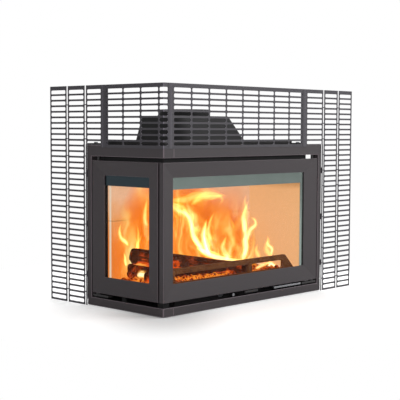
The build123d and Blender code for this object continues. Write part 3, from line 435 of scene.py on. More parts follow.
paintedFirelightBack = [(0.05, "#f98a30"), (0.15, "#f6852c"), (0.22, "#f3a25e"), (0.29, "#f6c29a"), (0.45, "#ecbc94")]
paintedFirelightSide = [(0.0, "#f8b46c"), (0.2, "#f6bb82"), (0.5, "#f4bd84")]
seamLevel = high("back_burn_plate_lower")[2]
freeEnd = high("back_burn_plate_lower")[1] - 0.012     # depth of the painted highlight line, 12 mm before the back of the plates
paints = {
    "casting": stovePaint("stovePaintOnCasting", "#2f292c", 0.62, 1.6, 0.25, paintedEdgeHighlight=3.2),
    "sheet": stovePaint("stovePaintOnSheet", "#322f35", 0.55, 0.9, 0.08, paintedEdgeHighlight=3.0),
    "iron": stovePaint("stovePaintOnIron", "#0e0d0f", 0.8, 2.2, 0.4),
    "plate": stovePaint("stovePaintOnPlate", "#232122", 0.65, 1.0, 0.1),
    "zinc": zincSteel("zincPlatedSteel", "#8d8e92", 0.38),
    "glass": heatGlass("glassCeramic"),
    # one print in two colours: the front's pale tone is a painted reflection, the side's dark tone painted
    # shade
    "frontPrint": mirrorPrint("mirrorPrintFrontPaintedReflection", "#838f8a"),
    "sidePrint": mirrorPrint("mirrorPrintSidePaintedShade", "#39464c"),
    "clay": plateWithPaintedFirelight("vermiculiteWithPaintedFirelight", paintedFirelightBack, (-0.25, 0.0, 0.16), (0.5, 0.2, 1.15), 0.42, seamLevel,
                      freeEnd),
    "sideClay": plateWithPaintedFirelight("sideVermiculiteWithPaintedFirelight", paintedFirelightSide, (0.21, -0.01, 0.12), (1.0, 1.0, 1.0), 0.370),
    "paintedFirelightIron": castingWithPaintedFirelight("scaledCastIron"),
    "rope": glassRope("braidedGlassRope"),
    "bark": charredWood("charredBark", "#220d05", "#5a290e", "#f2560a"),
    "embers": glowingEmbers("glowingCharcoal"),
    "curtainBack": flameCurtain("woodFlameBack", 1.3, 15.0, 1.35, 0.97),
    "curtainMiddle": flameCurtain("woodFlameMiddle", 5.1, 19.0, 0.72, 0.85),
    "curtainFront": flameCurtain("woodFlameFront", 9.7, 26.0, 0.5, 0.75),
    "whiteTongue": flameTongue("whiteFlameTongue", 1.0, 0.95),
    "yellowTongue": flameTongue("yellowFlameTongue", 0.88, 0.85),
    "orangeTongue": flameTongue("orangeFlameTongue", 0.68, 0.7),
}

finishOf = {"painted_casting": "casting", "painted_sheet": "sheet", "cast_iron": "iron",
            "steel_plate": "plate", "bright_steel": "zinc", "fire_clay": "clay", "ceramic_glass": "glass",
            "glass_fibre_seal": "rope"}
slotOf = {part["node"]: part["material_slot"] for part in frame["record"]["subparts"]}
ownFinish = {"log_guard": "paintedFirelightIron", "side_burn_plate": "sideClay"}


def dress(mesh, paint):
    mesh.materials.clear()
    mesh.materials.append(paints[paint])


for name, piece in nodes.items():
    dress(piece.data, ownFinish.get(name, finishOf[slotOf[name]]))
print("materials made:", len(paints))


# Meshes from numpy

origin = np.array(cadBox[0])          # outer near corner of the sheets, at floor level


def inFrame(points):
    # millimetres from the near corner to metres in the frame
    return np.asarray(points, float) * mm + origin


def fromCorner(node):
    # lowest and highest corner of a CAD node, in millimetres from the near corner
    return (np.array(low(node)) - origin) / mm, (np.array(high(node)) - origin) / mm


def outlineOf(node, axis):
    # a node seen from the front (axis 0) or the left (axis 1): from and to across, from and to upwards
    lowest, highest = fromCorner(node)
    return lowest[axis], highest[axis], lowest[2], highest[2]


def facing(points, axis):
    # points laid out as for the front, turned to the left side where axis is 1
    return points[:, [1, 0, 2]] if axis == 1 else points


def gridFaces(rowCount, columnCount, closeRows=False, closeColumns=False):
    # quads of a grid of points stored row by row, optionally joined round at either end
    r = np.arange(rowCount if closeRows else rowCount - 1)
    c = np.arange(columnCount if closeColumns else columnCount - 1)
    rr, cc = np.meshgrid(r, c, indexing="ij")
    r2, c2 = (rr + 1) % rowCount, (cc + 1) % columnCount
    quads = [rr * columnCount + cc, rr * columnCount + c2, r2 * columnCount + c2, r2 * columnCount + cc]
    return np.stack(quads, -1).reshape(-1, 4)


def closedTube(rings, middle=None):
    # rings of points joined one after another; each end closes on its mean, or on middle in x and y
    ends = []
    for ring in (rings[0], rings[-1]):
        end = ring.mean(0)
        if middle is not None:
            end[:2] = middle
        ends.append(np.broadcast_to(end, ring.shape))
    faces = gridFaces(len(rings) + 2, len(rings[0]), closeColumns=True)
    return np.concatenate([ends[0], *rings, ends[1]]), faces


def raised(section, *levels):
    # a section in x and y repeated at levels
    return [np.column_stack([section, np.full(len(section), z)]) for z in levels]


def withoutRepeats(faces):
    # a quad whose neighbouring corners have merged at a pole becomes a triangle, or nothing
    if faces.shape[1] < 4:
        return faces.tolist()
    same = faces == np.roll(faces, -1, axis=1)
    quads = faces[same.sum(1) == 0]
    pinched = faces[same.sum(1) == 1]
    kept = ~same[same.sum(1) == 1]
    return quads.tolist() + pinched[kept].reshape(-1, 3).tolist()


def addMesh(name, points, faces, paint, body="insert_body", smooth=False, uv=None, merge=False, outward=None):
    # points in mm from the near corner; merge joins equal points; outward is a direction that the
    # faces look on the whole, or "solid" for a closed form
    points, faces = np.asarray(points, float).reshape(-1, 3), np.asarray(faces)
    if merge:
        _, first, inverse = np.unique(np.round(points, 3), axis=0, return_index=True, return_inverse=True)
        points, faces = points[first], inverse.reshape(-1)[faces]
        if uv is not None:
            uv = np.asarray(uv).reshape(-1, 2)[first]
    if outward is not None:
        a, b, c = (points[faces[:, k]] for k in range(3))
        d = points[faces[:, -1]]
        normals = np.cross(c - a, d - b)
        if isinstance(outward, str):
            sense = (normals * (a + c - 2 * points.mean(0))).sum()
        else:
            sense = normals.sum(0) @ np.array(outward, float)
        if sense < 0:
            faces = faces[:, ::-1]
    mesh = bpy.data.meshes.new(name)
    mesh.from_pydata(inFrame(points).tolist(), [], withoutRepeats(faces))
    mesh.polygons.foreach_set("use_smooth", np.full(len(mesh.polygons), smooth))
    if uv is not None:
        layer = mesh.uv_layers.new(name="place")
        corners = np.zeros(len(mesh.loops), int)
        mesh.loops.foreach_get("vertex_index", corners)
        layer.data.foreach_set("uv", np.asarray(uv, float).reshape(-1, 2)[corners].ravel())
    mesh.materials.append(paints[paint])
    piece = addObject(name, mesh)
    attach(piece, body)
    return piece


def withWall(piece, thickness):
    # gives an open sheet its thickness, inwards from the face that was computed
    wall = piece.modifiers.new("wall", "SOLIDIFY")
    wall.thickness = thickness * mm
    wall.offset = -1.0
    return piece


def standIn(name, mesh, paint, node):
    # a piece that takes the place of a CAD node
    dress(mesh, paint)
    piece = addObject(name, mesh)
    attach(piece, nodes[node]["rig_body"])
    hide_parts(node)
    return piece


edges = {"steps": 2, "sharp": 35.0, "flat": 1.5, "merge": 1e-6}   # two angles in degrees, merge in metres


def finishedCopy(name, node, radius):
    # the CAD piece itself with its loose triangles merged, flat faces joined and edges rounded
    shape = bmesh.new()
    shape.from_mesh(nodes[node].data)
    bmesh.ops.remove_doubles(shape, verts=shape.verts, dist=edges["merge"])
    bmesh.ops.dissolve_limit(shape, angle_limit=math.radians(edges["flat"]), verts=shape.verts,
                             edges=shape.edges)
    mesh = bpy.data.meshes.new(name)
    shape.to_mesh(mesh)
    shape.free()
    mesh.polygons.foreach_set("use_smooth", np.zeros(len(mesh.polygons), bool))
    edge = standIn(name, mesh, finishOf[slotOf[node]], node).modifiers.new("edge", "BEVEL")
    edge.width = radius * mm
    edge.segments = edges["steps"]
    edge.limit_method = "ANGLE"
    edge.angle_limit = math.radians(edges["sharp"])


rounded = {
    # piece: the node that it stands for, and the radius of its edges in mm
    "surroundFrontCasting": ("surround_front", 1.4), "surroundLeftCasting": ("surround_left", 1.4),
    "airControlRod": ("air_control_bar", 0.6), "foldOutHandle": ("front_handle", 0.6),
    "lowerFrontHinge": ("front_hinge_lower", 0.5), "upperFrontHinge": ("front_hinge_upper", 0.5),
}
for name, (node, radius) in rounded.items():
    finishedCopy(name, node, radius)


def roundedOutline(corners, radii, steps=8):
    # polygon whose corner i is an arc: tangent points r / tan(half angle) from the corner, the arc
    # between them round a centre on the bisector
    corners = np.array(corners, float)
    before, after = np.roll(corners, 1, axis=0) - corners, np.roll(corners, -1, axis=0) - corners
    before /= np.linalg.norm(before, axis=1)[:, None]
    after /= np.linalg.norm(after, axis=1)[:, None]
    half = np.arccos(np.clip((before * after).sum(1), -1, 1)) / 2
    radii = np.array(radii, float)
    middle = before + after
    middle /= np.linalg.norm(middle, axis=1)[:, None]
    centre = corners + middle * (radii / np.sin(half))[:, None]
    first = corners + before * (radii / np.tan(half))[:, None] - centre
    last = corners + after * (radii / np.tan(half))[:, None] - centre
    t = np.linspace(0, 1, steps)[None, :, None]
    chord = first[:, None] * (1 - t) + last[:, None] * t
    arc = chord / np.linalg.norm(chord, axis=2, keepdims=True) * radii[:, None, None]
    return (centre[:, None] + arc).reshape(-1, 2)


def addPlateWithWindows(name, outlines, y0, y1, edge, paint, node):
    # a flat curve in the XZ plane, filled between its outlines, drawn out to its thickness with round edges
    data = bpy.data.curves.new(name, "CURVE")
    data.dimensions, data.fill_mode = "2D", "BOTH"
    data.extrude, data.bevel_depth, data.bevel_resolution = ((y1 - y0) / 2 - edge) * mm, edge * mm, 2
    data.offset = -edge * mm
    for outline in outlines:
        spline = data.splines.new("POLY")
        spline.points.add(len(outline) - 1)
        flat = np.concatenate([outline * mm, np.zeros((len(outline), 1)), np.ones((len(outline), 1))], 1)
        spline.points.foreach_set("co", flat.ravel())
        spline.use_cyclic_u = True
    drawn = bpy.data.objects.new(name + "Curve", data)
    mesh = bpy.data.meshes.new_from_object(drawn)
    bpy.data.objects.remove(drawn)
    flat = np.zeros(3 * len(mesh.vertices))
    mesh.vertices.foreach_get("co", flat)
    flat = flat.reshape(-1, 3)
    turned = np.stack([flat[:, 0], -flat[:, 2] + (y0 + y1) / 2 * mm, flat[:, 1]], -1) + origin
    mesh.vertices.foreach_set("co", turned.ravel())
    whole = bmesh.new()
    whole.from_mesh(mesh)
    bmesh.ops.remove_doubles(whole, verts=whole.verts, dist=edges["merge"])
    bmesh.ops.recalc_face_normals(whole, faces=whole.faces)
    whole.to_mesh(mesh)
    whole.free()
    standIn(name, mesh, paint, node)


# depths behind the crease, of the strip's edges and beside the crease, and half widths of the crease
coverStrip = {"edgeDepth": 0.95, "creaseDepth": 0.45, "creaseSide": 2.6, "creaseTop": 0.9}


def addCoverStrip(name, node, axis, crease):
    # Folded strip carried upwards: from its edges it rises slightly to a round crease at the share
    # crease of its width
    lowest, highest = fromCorner(node)
    u0, u1, front, back = lowest[axis], highest[axis], lowest[1 - axis], highest[1 - axis]
    middle = u0 + crease * (u1 - u0)
    edge, rise = front + coverStrip["edgeDepth"], front + coverStrip["creaseDepth"]
    side, top = coverStrip["creaseSide"], coverStrip["creaseTop"]
    section = np.array([(u0, back), (u0, edge), (middle - side, rise), (middle - top, front),
                        (middle + top, front), (middle + side, rise), (u1, edge), (u1, back)])
    points, faces = closedTube(raised(section, lowest[2], highest[2]))
    piece = addMesh(name, facing(points, axis), faces, "sheet", merge=True, outward="solid")
    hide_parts(node)


addCoverStrip("cornerCoverStrip", "grille_post_corner", 0, 0.66)
addCoverStrip("rightCoverStrip", "grille_post_right", 0, 0.5)
addCoverStrip("leftCoverStrip", "grille_post_left", 1, 0.6)


guard = {"bar": 17.5, "sill": 8.0, "leg": 26.0, "rightLeg": 38.0, "slopeLeft": 40.0, "slopeRight": 50.0,
         "post": 18.0, "postInset": 242.0, "round": 14.0, "foot": 0.5, "windowRound": 6.0, "edge": 1.4}


def addGuard(spec):
    # low bar before the fire: a plate with sloping ends and two windows, left and right of a post
    lowest, highest = fromCorner("log_guard")
    left, right, base, top = lowest[0], highest[0], lowest[2], highest[2]
    post = right - spec["postInset"]
    sill, bar = base + spec["sill"], top - spec["bar"]
    endLeft = left + spec["leg"] + spec["slopeLeft"] / 2
    endRight = right - spec["rightLeg"] - spec["slopeRight"] / 2
    body = [(left, base), (right, base), (right - spec["slopeRight"], top), (left + spec["slopeLeft"], top)]
    outlines = [roundedOutline(body, [spec["foot"]] * 2 + [spec["round"]] * 2)]
    for start, end in ((endLeft, post), (post + spec["post"], endRight)):
        window = [(start, sill), (end, sill), (end, bar), (start, bar)]
        outlines.append(roundedOutline(window, [spec["windowRound"]] * 4))
    addPlateWithWindows("fireGuard", outlines, lowest[1], highest[1], spec["edge"], "paintedFirelightIron", "log_guard")


addGuard(guard)


shield = {"inset": 21.0, "thickness": 1.5, "start": 8.0, "end": 126.0, "low": 4.0, "play": 2.0,
          "flange": 12.0}


def addSlotShield(spec):
    # angle of thin sheet, carried upwards, that closes the slot under the front door towards the right
    x = fromCorner("surround_front")[1][0] - spec["inset"]
    top = fromCorner("front_door_frame")[0][2] - spec["play"]
    t, start, end, tip = spec["thickness"], spec["start"], spec["end"], x - spec["flange"]
    section = np.array([(x, start), (x, end), (tip, end), (tip, end - t), (x - t, end - t), (x - t, start)])
    points, faces = closedTube(raised(section, spec["low"], top), (x - t / 2, end - t / 2))
    piece = addMesh("slotEndShield", points, faces, "plate", merge=True, outward="solid")


addSlotShield(shield)


rim = {"inset": 9.0, "thickness": 2.0, "height": 11.0, "leftEnd": 290.0, "rightEnd": 640.0, "round": 0.6}


def addPlateRim(spec):
    # upstand along the left and front edge of the top plate, its section carried round a mitred corner
    lowest, highest = fromCorner("top_plate")
    edge, foot, t, r = lowest[0] + spec["inset"], highest[2], spec["thickness"], spec["round"]
    top = foot + spec["height"]
    section = np.array([(0, foot), (0, top - r), (r, top), (t - r, top), (t, top - r), (t, foot)])
    inwards, z = edge + section[:, 0], section[:, 1]
    leftEnd, rightEnd = (np.full(len(section), spec[key]) for key in ("leftEnd", "rightEnd"))
    rings = (inwards, leftEnd, z), (inwards, inwards, z), (rightEnd, inwards, z)
    points, faces = closedTube([np.column_stack(ring) for ring in rings])
    piece = addMesh("topPlateRim", points, faces, "plate", merge=True, outward="solid")


addPlateRim(rim)


# Slotted convection sheets

sheets = {
    "skin": 1.5,           # sheet thickness
    "pitch": 18.0,         # from slot to slot
    "rows": 11,            # over the surround
    "wingRows": 38,
    "slotHeight": 12.0,
    "leastSlot": 3.0,      # a slot cut lower than this by the sill is left out
    "leastFlat": 0.1,      # straight part between the two round corners of a low slot
    "topBand": 12.8,
    "sill": 9.0,           # solid band at the foot of the sheets over the surround
    "bar": 5.0,            # upright bar between two slots
    "columnPitch": 78.0,
    "frontBars": 9, "sideBars": 4,
    "frontBar": 42.0,      # first upright bar of the front sheet
    "frontMargin": 5.75,   # from its last slot to its right end
    "sideBar": 22.5,
    "sideMargin": 7.75,
    "cornerSlot": 19.5,    # end of the slot through the fold, on the front leg
    "slotRadius": 4.2,
    "bendRadius": 3.0,     # outer radius of the left sheet's fold at the corner
    "foldPoints": 9,
    "snapGap": 7.0,
    "tab": 3.0,            # height of the snap tabs
    "tabDrop": 1.0,
    "tabRows": 3,          # slot rows from tab to tab
    "railGap": 0.25,       # from the surround to the wings' upper cells
    "arcSteps": 6,
}


def slotRows(top, sill, foot, count):
    # (cell low, slot low, slot high, cell high) from the top down; the sill cuts the lowest slot, and
    # neighbouring cells meet on the middle of the bar between them
    rows = []
    halfBar = (sheets["pitch"] - sheets["slotHeight"]) / 2
    for i in range(count):
        slotHigh = top - sheets["topBand"] - i * sheets["pitch"]
        slotLow = max(slotHigh - sheets["slotHeight"], sill)
        if slotHigh - slotLow > sheets["leastSlot"]:
            rows.append([slotLow - halfBar, slotLow, slotHigh, slotHigh + halfBar])
    rows[0][3] = top
    rows[-1][0] = foot
    return np.array(rows)


def slottedCells(columns, rows, extras=()):
    # Every cell is a ring of quads from a rounded slot to the cell's border. A corner of the slot is
    # centre + radius (cos a, sin a); its partner on the border slides up the side for a below 45
    # degrees and then along the top, so neighbouring cells share their points. extras are further
    # places across, at which a slot's straight edges are divided.
    cells = np.array([(*column, *row) for column in columns for row in rows])
    across, upwards = (np.split(half, 4, axis=1) for half in np.split(cells, 2, axis=1))
    r = np.minimum(sheets["slotRadius"], (upwards[2] - upwards[1]) / 2 - sheets["leastFlat"])
    angle = np.linspace(0, math.pi / 2, sheets["arcSteps"] + 1)[None]
    climb = np.clip(angle / (math.pi / 4), 0, 1)
    slide = np.clip(angle / (math.pi / 4) - 1, 0, 1)
    inner, outer = [], []
    for side, up in ((1, 1), (-1, 1), (-1, -1), (1, -1)):
        slotU, cellU = (across[2], across[3]) if side > 0 else (across[1], across[0])
        slotZ, cellZ = (upwards[2], upwards[3]) if up > 0 else (upwards[1], upwards[0])
        arcU, arcZ = slotU - side * r, slotZ - up * r
        corner = [arcU + side * r * np.cos(angle), arcZ + up * r * np.sin(angle)]
        border = [cellU + (arcU - cellU) * slide, arcZ + (cellZ - arcZ) * climb]
        order = slice(None) if side * up > 0 else slice(None, None, -1)
        inner.append(np.stack(corner, -1)[:, order])
        outer.append(np.stack(border, -1)[:, order])
        if len(extras) and side * up > 0:
            along = np.broadcast_to(np.array(extras)[::-up][None], (len(cells), len(extras)))
            inner.append(np.stack([along, np.broadcast_to(slotZ, along.shape)], -1))
            outer.append(np.stack([along, np.broadcast_to(cellZ, along.shape)], -1))
    inner, outer = np.concatenate(inner, 1), np.concatenate(outer, 1)
    count = inner.shape[1]
    flat = np.concatenate([inner, outer], 1)
    ring = np.arange(count)
    quads = np.stack([ring, (ring + 1) % count, count + (ring + 1) % count, count + ring], -1)
    faces = (quads[None] + (np.arange(len(cells)) * 2 * count)[:, None, None]).reshape(-1, 4)
    return flat.reshape(-1, 2), faces


def joinFlat(parts):
    # several flat meshes (points, faces) as one
    points, faces, count = [], [], 0
    for flat, quads in parts:
        points.append(np.asarray(flat, float))
        faces.append(np.asarray(quads) + count)
        count += len(flat)
    return np.concatenate(points), np.concatenate(faces)


def plate(u0, u1, z0, z1):
    # a flat rectangle, as points and faces
    return [(u0, z0), (u1, z0), (u1, z1), (u0, z1)], [(0, 1, 2, 3)]


def addSheet(name, node, flatMesh, place, outward):
    flat, faces = flatMesh
    piece = addMesh(name, place(flat[:, 0], flat[:, 1]), faces, "sheet", merge=True, outward=outward)
    withWall(piece, sheets["skin"])
    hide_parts(node)


def columnsBetween(first, count, start, end, lastSlot):
    # (cell start, slot start, slot end, cell end) between upright bars one column pitch apart
    bars = first + np.arange(count) * sheets["columnPitch"]
    half = sheets["bar"] / 2
    columns = [[x, x + half, min(y - half, lastSlot), y] for x, y in zip(bars, bars[1:])]
    columns[0][0], columns[-1][3] = start, end
    return columns


sheetLow, sheetHigh = fromCorner("grille_front")
sheetDepth, sheetFoot, sheetTop, frontEnd = sheetLow[1], sheetLow[2], sheetHigh[2], sheetHigh[0]
gridRows = slotRows(sheetTop, sheetFoot + sheets["sill"], sheetFoot, sheets["rows"])
frontColumns = columnsBetween(sheets["frontBar"], sheets["frontBars"], sheetLow[0], frontEnd,
                              frontEnd - sheets["frontMargin"])


def onFront(u, z):
    return np.stack([u, np.full_like(u, sheetDepth), z], -1)


def onSide(u, z):
    return np.stack([np.full_like(u, sheetDepth), u, z], -1)


def roundTheCorner(u, z):
    # u counts along the sheet from the middle of the fold: leg, quarter circle, leg
    radius = sheets["bendRadius"]
    half = radius * math.pi / 4
    angle = np.clip((u + half) / (2 * half), 0, 1) * math.pi / 2
    x = sheetDepth + np.where(u > half, u - half + radius, radius * (1 - np.cos(angle)))
    y = sheetDepth + np.where(u < -half, radius - u - half, radius * (1 - np.sin(angle)))
    return np.stack([x, y, z], -1)


addSheet("frontSheet", "grille_front", slottedCells(frontColumns, gridRows), onFront, (0, -1, 0))

# legLength turns a distance from the corner into one along the sheet from the middle of the fold
legLength = sheetDepth + sheets["bendRadius"] - sheets["bendRadius"] * math.pi / 4
sideBar = sheets["sideBar"]
frontLeg, leftEnd, _ = fromCorner("grille_left")[1]
leftColumns = columnsBetween(sideBar, sheets["sideBars"], sideBar, leftEnd, leftEnd - sheets["sideMargin"])
leftColumns = [[legLength - y for y in reversed(column)] for column in leftColumns]
foldStart = legLength - sideBar
cornerColumn = [foldStart, foldStart + sheets["bar"] / 2, sheets["cornerSlot"] - legLength,
                frontLeg - legLength]
bendPoints = np.linspace(-1, 1, sheets["foldPoints"]) * sheets["bendRadius"] * math.pi / 4
leftParts = [slottedCells(leftColumns, gridRows), slottedCells([cornerColumn], gridRows, bendPoints)]
addSheet("leftSheet", "grille_left", joinFlat(leftParts), roundTheCorner, (-1, -1, 0))


def wingMesh(node, axis, edge, firstSlot):
    # one column of slots over the surround, its rail, and two strips joined by snap tabs
    start, end, foot, _ = outlineOf(node, axis)
    rail = edge + sheets["bar"]
    width = (end - rail) / 2 - sheets["snapGap"]
    overSurround = fromCorner("surround_front")[1][2] + sheets["railGap"]
    upperRows = slotRows(sheetTop, overSurround + sheets["skin"], overSurround, sheets["rows"])
    allRows = slotRows(sheetTop, foot, foot, sheets["wingRows"])
    parts = [slottedCells([(start, start + firstSlot, edge, rail)], upperRows),
             plate(edge, rail, foot, overSurround)]
    for i in range(2):
        left = rail + sheets["snapGap"] + i * (width + sheets["snapGap"])
        column = (left, left + sheets["bar"], left + width - sheets["bar"], left + width)
        parts.append(slottedCells([column], allRows))
        for row in allRows[sheets["tabRows"] - 1::sheets["tabRows"]]:
            tabFoot = row[1] - sheets["tabDrop"]
            parts.append(plate(left - sheets["snapGap"], left, tabFoot, tabFoot + sheets["tab"]))
    return joinFlat(parts)


edgeX = fromCorner("surround_front")[1][0]
edgeY = fromCorner("surround_left")[1][1]
addSheet("rightWingSheet", "wing_right", wingMesh("wing_right", 0, edgeX, 20.75), onFront, (0, -1, 0))
addSheet("leftWingSheet", "wing_left", wingMesh("wing_left", 1, edgeY, 16.25), onSide, (-1, 0, 0))
print("slotted sheets made")


# Door frames

doors = {
    "rim": 3.0,            # flat rim before the slope
    "slope": 6.0,          # depth of the slope at the glass
    "lip": 4.0,            # casting left in front of the glass
    "lap": 7.0,            # glass seat beyond the opening
    "play": 0.5,           # round the glass
    "roundEdge": 1.2,
    "arcPoints": 5,
    "innerEdge": 0.8,      # radius of the edge at the opening
    "innerLift": 0.1,
    "groove": 5.0,         # width and depth of the rope groove
    "grooveDepth": 6.0,
    "ropePress": 0.1,      # groove beyond the rope
}


def inset(rect, by):
    u0, u1, z0, z1 = rect
    return u0 + by, u1 - by, z0 + by, z1 - by


def mitredFrame(outer, view, seal, face, back):
    # rectangles (u0, u1, z0, z1) at depths, one after another round the frame's section: outer side,
    # rounded edge, rim, slope, lip, glass seat, rope groove and back
    r, inner = doors["roundEdge"], doors["innerEdge"]
    turn = np.linspace(0, math.pi / 2, doors["arcPoints"])
    slopeEnd = face + doors["slope"]
    seat = slopeEnd + doors["lip"]
    grooveFloor = back - doors["grooveDepth"]
    glass, grooved = inset(view, -doors["lap"]), inset(seal, doors["groove"])
    section = [(outer, back)]
    section += [(inset(outer, r - r * math.cos(a)), face + r - r * math.sin(a)) for a in turn]
    section += [(inset(outer, doors["rim"]), face)]
    section += [(inset(view, -inner + inner * math.sin(a)),
                 slopeEnd - doors["innerLift"] + inner - inner * math.cos(a)) for a in turn]
    section += [(view, seat), (glass, seat), (glass, back)]
    section += [(grooved, back), (grooved, grooveFloor), (seal, grooveFloor), (seal, back)]
    points = np.array([[(u0, y, z0), (u1, y, z0), (u1, y, z1), (u0, y, z1)]
                       for (u0, u1, z0, z1), y in section])
    return points.reshape(-1, 3), gridFaces(len(section), 4, closeRows=True, closeColumns=True)


def addDoorFrame(name, node, body, axis, view, rope):
    lowest, highest = fromCorner(node)
    seal = inset(outlineOf(rope, axis), -doors["ropePress"])
    points, faces = mitredFrame(outlineOf(node, axis), view, seal, lowest[1 - axis], highest[1 - axis])
    piece = addMesh(name, facing(points, axis), faces, "casting", body, outward="solid")
    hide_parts(node)


# the opening is the pane less its lap and its play
frontView, sideView = (inset(outlineOf(pane, axis), doors["lap"] - doors["play"])
                       for pane, axis in (("front_glass", 0), ("side_glass", 1)))
addDoorFrame("frontDoorCasting", "front_door_frame", "front_door", 0, frontView, "front_door_rope")
addDoorFrame("sideDoorCasting", "side_door_frame", "side_door", 1, sideView, "side_door_rope")


# Printed borders on the panes

prints = {"thickness": 0.2, "frontTop": 36.0, "sideTop": 32.0, "endStrip": 20.0, "spare": 1.0, "behind": 3.0}


def printBorder(name, pane, body, axis, view, top, endStrip):
    # flat print on the pane's outer face: along the top, and down the far side if it has an end strip;
    # its paint has the name of the piece
    u0, u1, z0, z1 = inset(view, -prints["behind"])
    bandLow = view[3] - top
    y = fromCorner(pane)[0][1 - axis] - prints["thickness"]
    turn = u1 - endStrip
    flat = [(u0, bandLow), (turn, bandLow), (u1, bandLow), (u0, z1), (turn, z1), (u1, z1)]
    faces = [(0, 1, 4, 3), (1, 2, 5, 4)]
    if endStrip > prints["spare"]:
        flat += [(turn, z0), (u1, z0)]
        faces.append((6, 7, 2, 1))
    points = facing(np.array([(u, y, z) for u, z in flat]), axis)
    piece = addMesh(name, points, faces, name, body, outward=(0, -1, 0) if axis == 0 else (-1, 0, 0))
    withWall(piece, prints["thickness"])


printBorder("frontPrint", "front_glass", "front_door", 0, frontView, prints["frontTop"], prints["endStrip"])
printBorder("sidePrint", "side_glass", "side_door", 1, sideView, prints["sideTop"], prints["spare"])
print("doors made")


# Fire: logs, embers and flames, on the floor of the firebox

def ripple(points, scale, seed, octaves=4):
    # smooth noise in closed form: sines of random directions, each octave twice as fine and half as high
    generator = np.random.default_rng(seed)
    total = np.zeros(len(points))
    for octave in range(octaves):
        for _ in range(4):
            direction = generator.normal(size=3)
            direction /= np.linalg.norm(direction)
            wave = points @ direction * (2 * math.pi * 2 ** octave / scale)
            wave += generator.uniform(0, 2 * math.pi)
            total += np.sin(wave + 0.8 * np.sin(wave * 0.37 + octave)) / 2 ** octave
    return total / 4


timber = {
    "split": 0.35,         # how far the section is from round
    "bend": 6.0,
    "endSteps": 6, "endBulge": 1.5, "endWidth": 0.97,
    "step": 2.2,           # mm from ring to ring
    "ringPoints": 96,
    "barkWidth": 26.0, "barkHeight": 1.6,
    "grooveWave": 31.0, "grooveDepth": 1.5,
    "checkLength": 7.5, "checkDepth": 1.1,
}


def addLog(name, start, end, width, height, seed):
    # A split log: section angle a and place t along it. The half widths follow a rounded polygon,
    # r = 1 / (|cos|^n + |sin|^n)^(1/n), roughened lengthwise by bark and crosswise by charring checks.
    # Its ends bulge like 1 - s^2 while their width shrinks like the root of sin(s pi / 2).
    start, end, split = np.array(start, float), np.array(end, float), timber["split"]
    length = np.linalg.norm(end - start)
    along = (end - start) / length
    sideways = np.cross((0, 0, 1), along)
    sideways /= np.linalg.norm(sideways)
    upwards = np.cross(along, sideways)
    t = np.linspace(0, 1, int(length / timber["step"]))
    s = np.linspace(0, 1, timber["endSteps"])
    capped = np.concatenate([0 * s, t, 0 * s + 1])
    narrowed = np.sin(s * math.pi / 2) ** 0.5 * timber["endWidth"]
    shrink = np.concatenate([narrowed, np.ones(len(t)), narrowed[::-1]])
    bulge = timber["endBulge"] * (1 - s ** 2)
    push = np.concatenate([-bulge, np.zeros(len(t)), bulge[::-1]])
    a = np.linspace(0, 2 * math.pi, timber["ringPoints"], endpoint=False)
    tt, aa = np.meshgrid(capped, a, indexing="ij")
    power = 2.0 + 2.2 * split
    shape = (np.abs(np.cos(aa)) ** power + np.abs(np.sin(aa)) ** power) ** (-1 / power)
    shape = shape * (1 + split * 0.16 * np.sin(3 * aa + seed) + 0.05 * np.sin(5 * aa + 2 * seed))
    raw = np.stack([tt * length, width * np.cos(aa), height * np.sin(aa)], -1).reshape(-1, 3)
    bark = ripple(raw * (0.22, 1.0, 1.0), timber["barkWidth"], seed).reshape(tt.shape)
    grooves = np.abs(np.sin(aa * 9 + 0.9 * np.sin(tt * length / timber["grooveWave"] + seed) + bark))
    checks = np.abs(np.sin(tt * length / timber["checkLength"] + 1.2 * bark + 0.7 * np.sin(aa * 4 + seed)))
    rough = (timber["barkHeight"] * bark - timber["grooveDepth"] * (1 - grooves) ** 4
             - timber["checkDepth"] * (1 - checks) ** 6)
    radius = (shape + rough / (0.5 * (width + height))) * shrink[:, None]
    drop = timber["bend"] * np.sin(math.pi * capped)[:, None]
    points = (start + along * (tt * length + push[:, None])[..., None]
              + sideways * (width * radius * np.cos(aa) + 0.6 * drop)[..., None]
              + upwards * (height * radius * np.sin(aa) - 0.3 * drop)[..., None])
    addMesh(name, points, gridFaces(len(capped), len(a), closeColumns=True), "bark", smooth=True,
            outward="solid", merge=True)


logs = {
    "lowLogFront": {"start": (52, 118, 104), "end": (470, 78, 100), "width": 24, "height": 19, "seed": 3},
    "lowLogBack": {"start": (70, 206, 112), "end": (500, 190, 104), "width": 30, "height": 25, "seed": 5},
    "topLog": {"start": (56, 187, 166), "end": (420, 84, 100), "width": 30, "height": 25, "seed": 8},
    "smallChunk": {"start": (118, 66, 148), "end": (160, 100, 150), "width": 12, "height": 12, "seed": 11},
}
for name, spec in logs.items():
    addLog(name, **spec)


emberBed = {"x": (46, 640), "y": (52, 248), "columns": 300, "rows": 110, "mound": 14.0, "centre": (260, 140),
            "reach": (330, 110), "coals": 420, "coalSize": (4, 11), "coalRise": 0.8, "crumb": 0.8,
            "crumbSize": 9.0, "crust": 1.5, "rimFade": 10.0, "floorGap": 0.2, "wall": 0.2, "seed": 17}


